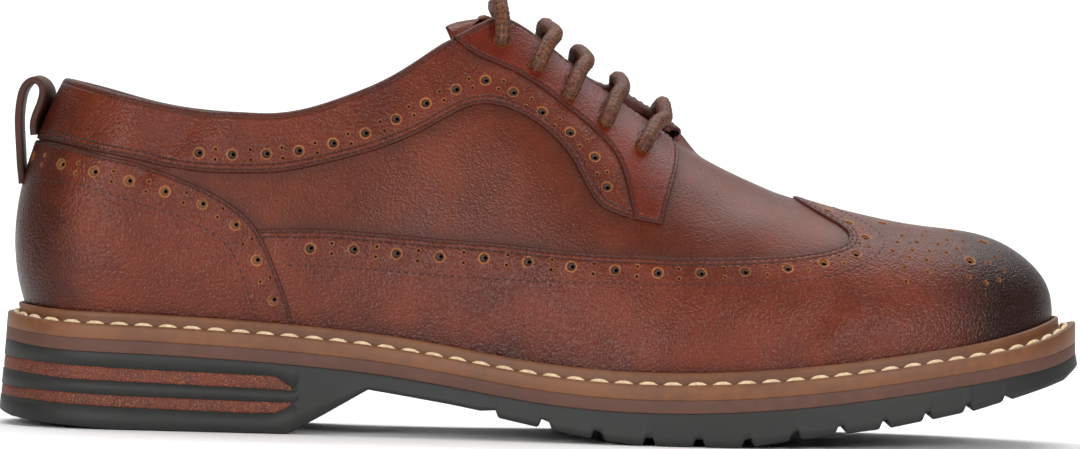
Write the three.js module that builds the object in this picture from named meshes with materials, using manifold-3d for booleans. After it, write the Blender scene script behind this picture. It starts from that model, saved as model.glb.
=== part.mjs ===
// A right-foot dress shoe with a punched wing cap, built on a last: sole, hollow upper, overlays and laces.
// Millimetres. X runs from the heel to the toe, Y towards the big toe, Z up from the floor.
import * as THREE from 'three';
import { mergeVertices } from 'three/addons/utils/BufferGeometryUtils.js';
import Module from 'manifold-3d';

const wasm = await Module();
wasm.setup();

// Driving sizes of the last and the sole
const LENGTH = 305;
const BALL_WIDTH = 107;
const WAIST_WIDTH = 69;
const HEEL_WIDTH = 73;
const HEEL_ROUND = 37;
const TOE_ROUND = 88;
const SHELF_RISE = 29.2;
const BACK_HEIGHT = 98;
const INSTEP_HEIGHT = 119;
const TOE_HEIGHT = 61.4;

// Clearances and thicknesses
const GAP = 0.3;
const WALL = 2;
const OVERLAY = 0.9;
const WELT_THICKNESS = 4.2;
const MIDSOLE_THICKNESS = 3.6;
const INSOLE_PROUD = 2.4;
const TONGUE_THICKNESS = 3;
const LEATHER_INSET = OVERLAY + GAP;

// The upper stands this far inside the sole's widest line
const UPPER_INSET = 7.5;
const LIP_HEIGHT = 3.3;
const LIP_THICKNESS = 1.5;
const TOE_WELT = 1.6;
const TOE_LIP = 1.1;
const HEEL_FLARE = 1.8;
const SIDE_FLARE = 0.9;

// Landmarks along the last
const TOP_BACK = 16.4;
const THROAT = 189.2;
const TIP = LENGTH - UPPER_INSET;
const TOP_ROUND = 27;
const TOE_CAP_ROUND = 32;

// Tread and heel
const TREAD_START = 141.5;
const LUG_COUNT = 11;
const FIRST_PITCH = 14.9;
const PITCH_SHRINK = 0.38;
const LUG_SHARE = 0.7;
const LUG_SLOPE = 1.1;
const GROOVE_DEPTH = 2.2;
const INLAY_DEPTH = 2.4;
const INLAY_RECESS = 0.4;

// Laces and pull loop
const LACE_COUNT = 5;
const LACE_RADIUS = 1.9;
const EYELET_LIFT = 0.65;
const STRAP_WIDTH = 13;
const STRAP_THICKNESS = 1.7;

// Natural cubic curve through the rows of a table: the first column runs along, the others are read off.
function curveColumns(columns, rows) {
  const along = rows.map((row) => row[0]);
  const count = rows.length;
  const result = {};
  columns.slice(1).forEach((name, column) => {
    const value = rows.map((row) => row[column + 1]);
    const bend = new Array(count).fill(0);
    const lower = new Array(count).fill(0);
    const right = new Array(count).fill(0);
    for (let i = 1; i < count - 1; i++) {
      const before = along[i] - along[i - 1];
      const after = along[i + 1] - along[i];
      const slopes = (value[i + 1] - value[i]) / after - (value[i] - value[i - 1]) / before;
      const pivot = 2 * (before + after) - before * lower[i - 1];
      lower[i] = after / pivot;
      right[i] = (6 * slopes - before * right[i - 1]) / pivot;
    }
    for (let i = count - 2; i > 0; i--) bend[i] = right[i] - lower[i] * bend[i + 1];
    result[name] = (x) => {
      const at = Math.min(Math.max(x, along[0]), along[count - 1]);
      let i = 0;
      while (i < count - 2 && at > along[i + 1]) i++;
      const step = along[i + 1] - along[i];
      const a = (along[i + 1] - at) / step;
      const b = (at - along[i]) / step;
      const curve = ((a ** 3 - a) * bend[i] + (b ** 3 - b) * bend[i + 1]) * step * step / 6;
      return a * value[i] + b * value[i + 1] + curve;
    };
  });
  return result;
}

// Straight lines between the rows of a table.
function lineBetween(rows) {
  return (x) => {
    let i = 0;
    while (i < rows.length - 2 && x > rows[i + 1][0]) i++;
    const share = (x - rows[i][0]) / (rows[i + 1][0] - rows[i][0]);
    return rows[i][1] + (rows[i + 1][1] - rows[i][1]) * Math.min(Math.max(share, 0), 1);
  };
}

const clamp01 = (value) => Math.min(Math.max(value, 0), 1);
const smooth = (value) => clamp01(value) ** 2 * (3 - 2 * clamp01(value));
// Rounded end: 1 away from the end, falling to 0 along a superellipse.
const roundEnd = (share, power) => Math.max(0, 1 - clamp01(share) ** power) ** (1 / power);

// Sole outline from above: centre and half width as shares of the ball width, by shares of the length
const plan = curveColumns(['along', 'centre', 'half'], [
  [0.00, 0, 0.5 * HEEL_WIDTH / BALL_WIDTH],
  [0.12, 0, 0.5 * HEEL_WIDTH / BALL_WIDTH],
  [0.24, -0.010, 0.495 * HEEL_WIDTH / BALL_WIDTH],
  [0.36, -0.042, 0.5 * WAIST_WIDTH / BALL_WIDTH],
  [0.48, -0.063, 0.372],
  [0.58, -0.048, 0.452],
  [0.68, -0.012, 0.500],
  [0.78, 0.026, 0.506],
  [0.90, 0.044, 0.490],
  [1.00, 0.047, 0.485],
]);

// Height of the shelf that the upper stands on: shares of the length and of the shelf's rise at the heel
const shelf = curveColumns(['along', 'height'], [
  [0.000, 1.093],
  [0.043, 1.031],
  [0.111, 1.000],
  [0.200, 0.969],
  [0.282, 0.921],
  [0.361, 0.846],
  [0.426, 0.750],
  [0.492, 0.647],
  [0.561, 0.586],
  [0.639, 0.582],
  [0.705, 0.623],
  [0.787, 0.719],
  [0.866, 0.846],
  [0.931, 0.968],
  [0.970, 1.090],
  [1.000, 1.240],
]);
const shelfHeight = (x) => shelf.height(x / LENGTH) * SHELF_RISE;

// Underside of heel and waist, then the line of the lugs' feet: shares of the length and of the shelf's rise
const HEEL_UNDERSIDE = [
  [0.000, 0.127],
  [0.015, 0.082],
  [0.036, 0.055],
  [0.066, 0.031],
  [0.115, 0.000],
  [0.270, 0.000],
  [0.277, 0.030],
  [0.302, 0.180],
  [0.344, 0.442],
  [0.374, 0.397],
  [0.420, 0.325],
  [0.446, 0.277],
];
const LUG_FEET = [
  [0.464, 0.212],
  [0.495, 0.150],
  [0.541, 0.062],
  [0.590, 0.000],
  [0.685, 0.000],
  [0.728, 0.079],
  [0.767, 0.140],
  [0.813, 0.202],
  [0.852, 0.284],
  [0.898, 0.384],
  [0.934, 0.493],
  [0.964, 0.589],
  [0.984, 0.661],
  [1.000, 0.790],
];

// The true collar and facing edge, seen from the side: shares of the length and of the back or instep height
const COLLAR_EDGE = curveColumns(['along', 'height'], [
  [0.054, 1.000],
  [0.092, 0.971],
  [0.134, 0.938],
  [0.187, 0.917],
  [0.230, 0.910],
  [0.262, 0.916],
  [0.292, 0.939],
  [0.321, 0.973],
  [0.351, 1.016],
  [0.377, 1.067],
  [0.400, 1.118],
  [0.423, 1.162],
  [0.443, 1.196],
  [0.462, 1.220],
]);
const FACING_EDGE = curveColumns(['along', 'height'], [
  [0.456, 0.998],
  [0.469, 0.985],
  [0.492, 0.948],
  [0.518, 0.896],
  [0.557, 0.820],
  [0.597, 0.751],
  [0.620, 0.711],
]);
const FACING_CORNER = 0.454;

// The last's top line, which runs on smoothly over the collar's opening: height and half gap
const topLine = curveColumns(['along', 'height', 'half'], [
  [0.054, 0.824, 0.215],
  [0.092, 0.836, 0.220],
  [0.134, 0.859, 0.215],
  [0.187, 0.892, 0.202],
  [0.230, 0.924, 0.187],
  [0.279, 0.965, 0.167],
  [0.321, 0.997, 0.148],
  [0.361, 1.009, 0.127],
  [0.400, 1.018, 0.107],
  [0.433, 1.017, 0.092],
  [0.456, 1.005, 0.080],
  [0.475, 0.983, 0.073],
  [0.495, 0.949, 0.066],
  [0.525, 0.887, 0.053],
  [0.557, 0.824, 0.037],
  [0.597, 0.755, 0.015],
  [0.620, 0.713, 0.001],
]);

// Ridge of the vamp over the shelf as a share of the toe's height
const ridge = curveColumns(['along', 'height'], [
  [0.620, 1.099],
  [0.636, 1.054],
  [0.662, 0.980],
  [0.692, 0.904],
  [0.718, 0.842],
  [0.741, 0.798],
  [0.767, 0.748],
  [0.797, 0.694],
  [0.826, 0.645],
  [0.859, 0.598],
  [0.892, 0.555],
  [0.931, 0.478],
  [1.000, 0.255],
]);

// Sideways place of the top line, a share of the ball width towards the big toe
const spine = curveColumns(['along', 'aside'], [
  [0.054, 0.000],
  [0.200, 0.000],
  [0.330, 0.005],
  [0.456, 0.014],
  [0.620, 0.023],
  [0.787, 0.039],
  [1.000, 0.047],
]);

// Section of the last by shares of the upper's length: the lower handle's rise and the upper handle's drop
// are shares of the height, bulges and crowns on each side are shares of the ball width
const section = curveColumns(
  ['along', 'rise', 'drop', 'outerBulge', 'innerBulge', 'outerCrown', 'innerCrown'],
  [
    [0.00, 0.277, 0.42, 0.070, 0.070, 0.133, 0.133],
    [0.08, 0.300, 0.42, 0.052, 0.052, 0.070, 0.070],
    [0.19, 0.320, 0.40, 0.041, 0.045, 0.051, 0.051],
    [0.30, 0.360, 0.33, 0.036, 0.054, 0.056, 0.056],
    [0.39, 0.400, 0.22, 0.032, 0.071, 0.089, 0.079],
    [0.50, 0.430, 0.08, 0.030, 0.065, 0.173, 0.131],
    [0.62, 0.460, 0.00, 0.030, 0.039, 0.243, 0.206],
    [0.74, 0.500, 0.00, 0.026, 0.028, 0.266, 0.257],
    [0.86, 0.550, 0.00, 0.019, 0.019, 0.262, 0.262],
    [1.00, 0.600, 0.00, 0.000, 0.000, 0.252, 0.252],
  ],
);

// Stations crowd together at the heel and the toe, so that both ends come out round
const END_CROWDING = 0.93;
const spread = (share) => share - END_CROWDING * Math.sin(2 * Math.PI * share) / (2 * Math.PI);

function shareAt(target) {
  let low = 0;
  let high = 1;
  for (let step = 0; step < 40; step++) {
    const middle = (low + high) / 2;
    if (spread(middle) < target) low = middle;
    else high = middle;
  }
  return (low + high) / 2;
}

// Point of the sole's widest line: u runs from -1 at the toe by the outer side to 0 at the heel and on to 1
function planPoint(u) {
  const turn = u > 1 ? u - 2 : u < -1 ? u + 2 : u;
  const side = turn < 0 ? -1 : 1;
  const along = spread(Math.abs(turn));
  const x = along * LENGTH;
  const heelEnd = roundEnd((HEEL_ROUND - x) / HEEL_ROUND, 2.3);
  const toeEnd = roundEnd((x - (LENGTH - TOE_ROUND)) / TOE_ROUND, 2.2);
  const half = plan.half(along) * BALL_WIDTH * heelEnd * toeEnd;
  return [x, plan.centre(along) * BALL_WIDTH + side * half];
}

function planNormal(u) {
  const before = planPoint(u - 0.001);
  const after = planPoint(u + 0.001);
  const run = [after[0] - before[0], after[1] - before[1]];
  const size = Math.hypot(run[0], run[1]);
  return [-run[1] / size, run[0] / size];
}

function rimPoint(u, inset) {
  const point = planPoint(u);
  const normal = planNormal(u);
  return [point[0] - normal[0] * inset, point[1] - normal[1] * inset];
}

// Top of a section of the last
function topPoint(u) {
  const side = u < 0 ? -1 : 1;
  const x = TOP_BACK + (TIP - TOP_BACK) * spread(Math.abs(u));
  const along = x / LENGTH;
  const aside = spine.aside(along) * BALL_WIDTH;
  if (x >= THROAT) {
    const end = roundEnd((x - (TIP - TOE_CAP_ROUND)) / TOE_CAP_ROUND, 3.5);
    return [x, aside, shelfHeight(x) + GAP + ridge.height(along) * TOE_HEIGHT * end];
  }
  const back = roundEnd((TOP_BACK + TOP_ROUND - x) / TOP_ROUND, 2.1);
  const half = topLine.half(along) * BALL_WIDTH * back;
  return [x, aside + side * half, topLine.height(along) * INSTEP_HEIGHT];
}

// Outer form of the upper: u as above, v from 0 at the sole to 1 at the last's top line
function lastPoint(u, v) {
  const side = u < 0 ? -1 : 1;
  const along = spread(Math.abs(u));
  const foot = rimPoint(u, UPPER_INSET);
  const normal = planNormal(u);
  const low = [foot[0], foot[1], shelfHeight(foot[0]) + GAP];
  const high = topPoint(u);
  const height = high[2] - low[2];
  const toeStart = LENGTH - TOE_ROUND;
  const toe = roundEnd((high[0] - toeStart) / (TIP - toeStart), 2.2);
  const bulge = (side < 0 ? section.outerBulge(along) : section.innerBulge(along)) * BALL_WIDTH;
  const crown = (side < 0 ? section.outerCrown(along) : section.innerCrown(along)) * BALL_WIDTH * toe;
  const heel = smooth(1 - along / 0.25);
  const outward = [normal[0] * heel, normal[1] * heel + side * (1 - heel)];
  const size = Math.hypot(outward[0], outward[1]);
  const handles = [
    low,
    [low[0] + normal[0] * bulge, low[1] + normal[1] * bulge, low[2] + section.rise(along) * height],
    [
      high[0] + outward[0] / size * crown,
      high[1] + outward[1] / size * crown,
      high[2] - section.drop(along) * height,
    ],
    high,
  ];
  const weights = [(1 - v) ** 3, 3 * (1 - v) ** 2 * v, 3 * (1 - v) * v * v, v ** 3];
  return [0, 1, 2].map((axis) => handles.reduce((sum, handle, i) => sum + weights[i] * handle[axis], 0));
}

// Outward direction of the last's surface, read a little way in from the toe's tip
function lastNormal(u, v) {
  const near = Math.min(Math.abs(u), 0.995) * (u < 0 ? -1 : 1);
  const v0 = Math.max(v - 0.004, 0);
  const v1 = Math.min(v + 0.004, 1);
  const alongU = new THREE.Vector3(...lastPoint(near + 0.002, v)).sub(
    new THREE.Vector3(...lastPoint(near - 0.002, v)),
  );
  const alongV = new THREE.Vector3(...lastPoint(near, v1)).sub(new THREE.Vector3(...lastPoint(near, v0)));
  return alongV.cross(alongU).normalize();
}

function offsetPoint(u, v, depth) {
  const point = new THREE.Vector3(...lastPoint(u, v));
  const normal = lastNormal(u, v);
  if (Math.abs(u) === 1) {
    normal.y = 0;
    normal.z = 0;
    normal.normalize();
  }
  const moved = point.clone().addScaledVector(normal, -depth);
  if (v === 0) moved.z = point.z;
  return moved.toArray();
}

const edgeHeight = (x) =>
  x / LENGTH < FACING_CORNER
    ? COLLAR_EDGE.height(x / LENGTH) * BACK_HEIGHT
    : FACING_EDGE.height(x / LENGTH) * INSTEP_HEIGHT;

// Share of a section's height at which the leather ends: the collar, then the facing, then the closed vamp
function edgeShare(u) {
  if (topPoint(u)[0] >= THROAT || u === 0) return 1;
  let low = 0;
  let high = 1;
  for (let step = 0; step < 30; step++) {
    const middle = (low + high) / 2;
    const point = lastPoint(u, middle);
    if (point[2] < edgeHeight(point[0])) low = middle;
    else high = middle;
  }
  return high;
}

// Solids from indexed faces
function solidFrom(points, faces) {
  const geometry = new THREE.BufferGeometry();
  geometry.setAttribute('position', new THREE.Float32BufferAttribute(points.flat(), 3));
  geometry.setIndex(faces.flat());
  return solidOf(geometry);
}

function solidOf(geometry) {
  const bare = geometry.clone();
  bare.deleteAttribute('normal');
  bare.deleteAttribute('uv');
  const merged = mergeVertices(bare, 1e-4);
  const mesh = new wasm.Mesh({
    numProp: 3,
    vertProperties: new Float32Array(merged.attributes.position.array),
    triVerts: new Uint32Array(merged.index.array),
  });
  return new wasm.Manifold(mesh);
}

function namedMesh(name, solid, material) {
  const { vertProperties, triVerts } = solid.getMesh();
  const geometry = new THREE.BufferGeometry();
  geometry.setAttribute('position', new THREE.BufferAttribute(vertProperties, 3));
  geometry.setIndex(new THREE.BufferAttribute(triVerts, 1));
  const faces = geometry.toNonIndexed();
  faces.computeVertexNormals();
  const mesh = new THREE.Mesh(faces, material);
  mesh.name = name;
  return mesh;
}

// Shares of the last at which sections are taken, from the heel to the throat and on to the toe
function lastStations() {
  const throat = shareAt((THROAT - TOP_BACK) / (TIP - TOP_BACK)) + 1e-6;
  const corner = shareAt((FACING_CORNER * LENGTH - TOP_BACK) / (TIP - TOP_BACK));
  const shares = [0];
  const stretches = [[corner, 17], [throat, 7], [1, 16]];
  for (const [end, count] of stretches) {
    const start = shares[shares.length - 1];
    for (let i = 1; i <= count; i++) shares.push(start + (end - start) * i / count);
  }
  return { shares, throat: 17 + 7 };
}

// A shell that follows the last between two depths, open at the collar, at the throat and underneath
function lastShell(outerDepth, innerDepth, rows) {
  const { shares, throat } = lastStations();
  const last = shares.length - 1;
  const points = [];
  const faces = [];
  const layers = [outerDepth, innerDepth].map((depth) => {
    const columns = new Map();
    for (let k = -last; k <= last; k++) {
      const u = k < 0 ? -shares[-k] : shares[k];
      const top = edgeShare(u);
      const column = [];
      for (let row = 0; row <= rows; row++) {
        const isPole = Math.abs(k) === last;
        const isRidge = row === rows && k > 0 && k >= throat;
        if (isPole && (row > 0 || k > 0)) column.push(k > 0 ? columns.get(-last)[0] : column[0]);
        else if (isRidge) column.push(columns.get(-k)[rows]);
        else column.push(points.push(offsetPoint(u, top * row / rows, depth)) - 1);
      }
      columns.set(k, column);
    }
    return columns;
  });
  const quad = (a, b, c, d) => {
    if (a !== b && b !== c && c !== a) faces.push([a, b, c]);
    if (a !== c && c !== d && d !== a) faces.push([a, c, d]);
  };
  const [outer, inner] = layers;
  for (let k = -last; k < last; k++) {
    const [p, q] = [outer.get(k), outer.get(k + 1)];
    const [r, s] = [inner.get(k), inner.get(k + 1)];
    for (let row = 0; row < rows; row++) {
      quad(p[row], p[row + 1], q[row + 1], q[row]);
      quad(r[row], s[row], s[row + 1], r[row + 1]);
    }
    quad(p[0], q[0], s[0], r[0]);
    if (k >= -throat && k < throat) quad(q[rows], p[rows], r[rows], s[rows]);
  }
  return solidFrom(points, faces);
}

// A solid between level rings around the outline: each ring has its own inset and its own height by station
function soleLayer(shares, rings) {
  const last = shares.length - 1;
  const loop = [];
  for (let k = 0; k <= last; k++) loop.push(shares[k]);
  for (let k = last - 1; k > 0; k--) loop.push(-shares[k]);
  const points = [];
  for (const ring of rings) {
    for (const u of loop) {
      const [x, y] = rimPoint(u, ring.inset(u));
      points.push([x, y, ring.height(u, x)]);
    }
  }
  const faces = [];
  const count = loop.length;
  for (let level = 0; level < rings.length - 1; level++) {
    const base = level * count;
    for (let i = 0; i < count; i++) {
      const next = (i + 1) % count;
      const corner = base + count + next;
      faces.push([base + i, corner, base + next], [base + i, base + count + i, corner]);
    }
  }
  const other = (k) => (count - k) % count;
  const lid = (base, flip) => {
    for (let k = 0; k < last; k++) {
      const [a, b, c, d] = [base + k, base + k + 1, base + other(k + 1), base + other(k)];
      const pair = [[a, b, c], [a, c, d]].filter(([p, q, r]) => p !== q && q !== r && r !== p);
      faces.push(...pair.map((face) => (flip ? face : face.slice().reverse())));
    }
  };
  lid(0, true);
  lid((rings.length - 1) * count, false);
  return solidFrom(points, faces);
}

// A closed ring around the outline from a section of corners, each with an inset and a height
function soleRing(shares, corners) {
  const last = shares.length - 1;
  const loop = [];
  for (let k = 0; k <= last; k++) loop.push(shares[k]);
  for (let k = last - 1; k > 0; k--) loop.push(-shares[k]);
  const points = [];
  for (const u of loop) for (const corner of corners) points.push(corner(u));
  const faces = [];
  const size = corners.length;
  for (let i = 0; i < loop.length; i++) {
    const next = (i + 1) % loop.length;
    for (let j = 0; j < size; j++) {
      const up = (j + 1) % size;
      const [a, b, c, d] = [i * size + j, next * size + j, next * size + up, i * size + up];
      faces.push([a, c, b], [a, d, c]);
    }
  }
  return solidFrom(points, faces);
}

// A straight prism through the shoe from side to side, from its outline seen from the outer side
function sidePrism(outline) {
  const shape = new THREE.Shape(outline.map(([x, z]) => new THREE.Vector2(x, z)));
  const geometry = new THREE.ExtrudeGeometry(shape, { depth: 2 * BALL_WIDTH, bevelEnabled: false });
  geometry.rotateX(Math.PI / 2);
  geometry.translate(0, BALL_WIDTH, 0);
  return solidOf(geometry);
}

// Points along a smooth line through rows of shares of the length and of the instep's height
function sideLine(rows, steps) {
  const curve = new THREE.SplineCurve(
    rows.map(([along, height]) => new THREE.Vector2(along * LENGTH, height * INSTEP_HEIGHT)),
  );
  return curve.getPoints(steps).map((point) => [point.x, point.y]);
}

const evenShares = (count) => Array.from({ length: count + 1 }, (_, i) => i / count);
const flare = (u) => {
  const x = planPoint(u)[0];
  return SIDE_FLARE + (HEEL_FLARE - SIDE_FLARE) * smooth(1 - x / (3 * HEEL_ROUND));
};
const toeWelt = (x) => TOE_WELT * smooth((x / LENGTH - 0.93) / 0.07);
const weltBase = (x) => shelfHeight(x) - WELT_THICKNESS - toeWelt(x);
const lipHeight = (x) => LIP_HEIGHT + TOE_LIP * smooth((x / LENGTH - 0.88) / 0.1);
const midsoleBase = (x) => weltBase(x) - MIDSOLE_THICKNESS;

// Outsole
function underside() {
  const feet = lineBetween(LUG_FEET);
  const rows = HEEL_UNDERSIDE.map(([along, height]) => [along * LENGTH, height * SHELF_RISE]);
  for (let lug = 0; lug < LUG_COUNT; lug++) {
    const pitch = FIRST_PITCH - PITCH_SHRINK * lug;
    const start = TREAD_START + FIRST_PITCH * lug - PITCH_SHRINK * lug * (lug - 1) / 2;
    const foot = (x) => feet(x / LENGTH) * SHELF_RISE;
    const end = start + pitch * LUG_SHARE;
    rows.push([start - LUG_SLOPE, foot(start) + GROOVE_DEPTH]);
    rows.push([start, foot(start)]);
    rows.push([end, foot(end)]);
    rows.push([end + LUG_SLOPE, foot(end) + GROOVE_DEPTH]);
  }
  for (const [along, height] of LUG_FEET.slice(-4)) rows.push([along * LENGTH, height * SHELF_RISE]);
  return rows;
}

function outsoleBody() {
  const rows = underside();
  const profile = lineBetween(rows);
  const between = evenShares(40).filter((share) => spread(share) < 0.1 || spread(share) > 0.93);
  const shares = [...rows.slice(1, -1).map(([x]) => shareAt(x / LENGTH)), ...between];
  const sorted = [...new Set([0, 1, ...shares])].sort((a, b) => a - b);
  const spaced = sorted.filter((share, i) => i === 0 || share === 1 || share - sorted[i - 1] > 1e-4);
  return soleLayer(spaced, [
    { inset: () => 0, height: (u) => profile(planPoint(u)[0]) },
    { inset: (u) => 0.8 * flare(u), height: (u, x) => midsoleBase(x) - GAP },
  ]);
}

// The heel's two inlaid bands, seen from the side: shares of the length and of the shelf's rise
const INLAYS = {
  heel_inlay_upper: [
    [-0.02, 0.680], [0.007, 0.655], [0.066, 0.610], [0.144, 0.580], [0.262, 0.551],
    [0.285, 0.414], [0.230, 0.435], [0.118, 0.466], [0.069, 0.476], [0.007, 0.530], [-0.02, 0.545],
  ],
  heel_inlay_lower: [
    [-0.02, 0.385], [0.007, 0.373], [0.069, 0.346], [0.118, 0.325], [0.230, 0.305],
    [0.284, 0.301], [0.268, 0.205], [0.230, 0.192], [0.118, 0.219], [0.069, 0.236], [0.007, 0.277],
    [-0.02, 0.290],
  ],
};

// An outline that runs clockwise, moved outward by a clearance
function grown(outline, by) {
  const count = outline.length;
  return outline.map(([x, z], i) => {
    const before = new THREE.Vector2(...outline[(i + count - 1) % count]);
    const here = new THREE.Vector2(x, z);
    const after = new THREE.Vector2(...outline[(i + 1) % count]);
    const arrive = here.clone().sub(before).normalize();
    const leave = after.clone().sub(here).normalize();
    const outward = new THREE.Vector2(-arrive.y - leave.y, arrive.x + leave.x).normalize();
    const reach = by / Math.max(0.4, outward.dot(new THREE.Vector2(-arrive.y, arrive.x)));
    return [x + outward.x * reach, z + outward.y * reach];
  });
}

function outsoleAndInlays() {
  const body = outsoleBody();
  const levelCore = (depth) =>
    soleLayer(evenShares(48), [
      { inset: (u) => depth + 0.4 * flare(u), height: () => -BALL_WIDTH },
      { inset: (u) => depth + 0.4 * flare(u), height: () => BALL_WIDTH },
    ]);
  const solids = {};
  let outsole = body;
  for (const [name, rows] of Object.entries(INLAYS)) {
    const outline = rows.map(([along, height]) => [along * LENGTH, height * SHELF_RISE]);
    const band = body.intersect(sidePrism(outline));
    solids[name] = band.subtract(levelCore(INLAY_DEPTH)).intersect(levelCore(INLAY_RECESS));
    outsole = outsole.subtract(sidePrism(grown(outline, GAP)).subtract(levelCore(INLAY_DEPTH + GAP)));
  }
  return { outsole, ...solids };
}

// Midsole, welt and insole
const SOLE_SHARES = evenShares(44);
const layerBetween = (lowInset, low, highInset, high) =>
  soleLayer(SOLE_SHARES, [
    { inset: lowInset, height: (u, x) => low(x) },
    { inset: highInset, height: (u, x) => high(x) },
  ]);

function lipPoint(u, share, out) {
  const low = lastPoint(u, 0);
  const height = share * lipHeight(low[0]);
  let v = 0;
  while (v < 0.5 && lastPoint(u, v)[2] < low[2] + height && Math.abs(u) < 0.999) v += 0.01;
  const near = lastPoint(u, Math.min(v, 0.3));
  const normal = planNormal(u);
  const lean = Math.max(0, (near[0] - low[0]) * normal[0] + (near[1] - low[1]) * normal[1]);
  const [x, y] = rimPoint(u, UPPER_INSET - lean - out);
  return [x, y, shelfHeight(low[0]) + height];
}

function weltSolid() {
  const inner = UPPER_INSET + LEATHER_INSET + WALL;
  const at = (inset, height) => (u) => {
    const [x, y] = rimPoint(u, inset(u));
    return [x, y, height(x)];
  };
  return soleRing(SOLE_SHARES, [
    at(() => inner, weltBase),
    at((u) => 0.88 * flare(u), weltBase),
    at(flare, shelfHeight),
    (u) => lipPoint(u, 0, GAP + LIP_THICKNESS + 0.4),
    (u) => lipPoint(u, 1, GAP + LIP_THICKNESS),
    (u) => lipPoint(u, 1, GAP),
    (u) => lipPoint(u, 0, GAP),
    at(() => inner, shelfHeight),
  ]);
}

// Outlines of the overlays seen from the outer side: shares of the length and of the instep's height
const COUNTER_EDGE = [
  [-0.020, 0.674], [0.028, 0.668], [0.058, 0.656], [0.098, 0.634], [0.137, 0.610], [0.166, 0.584],
  [0.195, 0.556], [0.215, 0.529], [0.234, 0.486], [0.247, 0.437], [0.259, 0.363], [0.275, 0.258],
  [0.290, 0.150],
];
const BAND_EDGE = [
  [-0.020, 0.679], [0.028, 0.674], [0.063, 0.663], [0.136, 0.628], [0.174, 0.613], [0.227, 0.608],
  [0.262, 0.614], [0.296, 0.635], [0.331, 0.658], [0.366, 0.692], [0.386, 0.715], [0.413, 0.757],
  [0.432, 0.781], [0.460, 0.777], [0.488, 0.746], [0.513, 0.704], [0.529, 0.653], [0.542, 0.587],
  [0.553, 0.550], [0.580, 0.529],
];
const TAB_SEAM = [
  [0.580, 0.545], [0.568, 0.665], [0.554, 0.711], [0.524, 0.773], [0.497, 0.823], [0.458, 0.874],
  [0.413, 0.934], [0.370, 1.000],
];
const TAB_FRONT = [[0.582, 0.529], [0.609, 0.513], [0.619, 0.605], [0.624, 0.672], [0.622, 0.730]];
const WING_EDGE = [
  [0.240, 0.479], [0.290, 0.480], [0.351, 0.473], [0.415, 0.461], [0.500, 0.449], [0.552, 0.442],
  [0.621, 0.436], [0.674, 0.438], [0.709, 0.444], [0.744, 0.452], [0.767, 0.466], [0.781, 0.485],
  [0.783, 0.502], [0.772, 0.524], [0.755, 0.545], [0.731, 0.575],
];

function overlaySolids() {
  const shell = lastShell(0, OVERLAY, 8);
  const above = INSTEP_HEIGHT * 1.2;
  const counter = [...sideLine(COUNTER_EDGE, 36), [-HEEL_ROUND, 0]];
  const band = [
    ...sideLine(BAND_EDGE, 48), ...sideLine(TAB_SEAM, 24), [0.37 * LENGTH, above], [-HEEL_ROUND, above],
  ];
  const tab = [
    ...sideLine(TAB_SEAM, 24).reverse(), ...sideLine(TAB_FRONT, 12), [0.622 * LENGTH, above],
    [0.37 * LENGTH, above],
  ];
  const wing = [
    ...sideLine(WING_EDGE, 44), [0.731 * LENGTH, above], [LENGTH + HEEL_ROUND, above],
    [LENGTH + HEEL_ROUND, 0], [0.2 * LENGTH, 0],
  ];
  const apart = (solid, neighbour) => solid.subtract(neighbour);
  const shifted = (outline, dx, dz) => outline.map(([x, z]) => [x + dx, z + dz]);
  const counterPrism = sidePrism(counter);
  const tabSolid = shell.intersect(sidePrism(tab)).subtract(sidePrism(shifted(band, GAP, 0)));
  const farSide = (solid, side) => solid.trimByPlane([0, side, 0], spine.aside(0.55) * BALL_WIDTH * side);
  return {
    heel_counter: apart(shell.intersect(counterPrism), sidePrism(shifted(band, 0, -GAP))),
    collar_band: shell.intersect(sidePrism(band)),
    wing_cap: apart(shell.intersect(sidePrism(wing)), sidePrism(shifted(counter, GAP * 1.3, GAP))),
    eyelet_tab_outer: farSide(tabSolid, -1),
    eyelet_tab_inner: farSide(tabSolid, 1),
  };
}

// Tongue: a sheet under the facings that runs out past their top corner
const TONGUE_ROOT = 0.668;
const TONGUE_END = 0.405;
function tongueSolid() {
  const depth = LEATHER_INSET + WALL + 3 * GAP;
  const columns = 16;
  const rows = 6;
  const points = [];
  const grids = [0, TONGUE_THICKNESS].map((more) => {
    const grid = [];
    for (let column = 0; column <= columns; column++) {
      const share = column / columns;
      const x = (TONGUE_ROOT + (TONGUE_END - TONGUE_ROOT) * share) * LENGTH;
      const station = shareAt((x - TOP_BACK) / (TIP - TOP_BACK));
      const sideShare = 0.76 + 0.07 * smooth((share - 0.7) / 0.3) + 0.04 * smooth((0.3 - share) / 0.3);
      const placed = (u, row) =>
        points.push(offsetPoint(u, sideShare + (1 - sideShare) * row / rows, depth + more)) - 1;
      const line = [];
      for (let row = 0; row <= rows; row++) line.push(placed(-station, row));
      for (let row = rows; row >= 0; row--) {
        line.push(row === rows && x >= THROAT ? line[rows] : placed(station, row));
      }
      grid.push(line);
    }
    return grid;
  });
  const faces = [];
  const quad = (a, b, c, d) => {
    if (a !== b && b !== c && c !== a) faces.push([a, b, c]);
    if (a !== c && c !== d && d !== a) faces.push([a, c, d]);
  };
  const [top, base] = grids;
  const width = top[0].length - 1;
  for (let i = 0; i < columns; i++) {
    for (let j = 0; j < width; j++) {
      quad(top[i][j], top[i][j + 1], top[i + 1][j + 1], top[i + 1][j]);
      quad(base[i][j], base[i + 1][j], base[i + 1][j + 1], base[i][j + 1]);
    }
    quad(top[i][0], top[i + 1][0], base[i + 1][0], base[i][0]);
    quad(top[i][width], base[i][width], base[i + 1][width], top[i + 1][width]);
  }
  for (let j = 0; j < width; j++) {
    quad(top[0][j], base[0][j], base[0][j + 1], top[0][j + 1]);
    quad(top[columns][j], top[columns][j + 1], base[columns][j + 1], base[columns][j]);
  }
  return solidFrom(points, faces);
}

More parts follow.
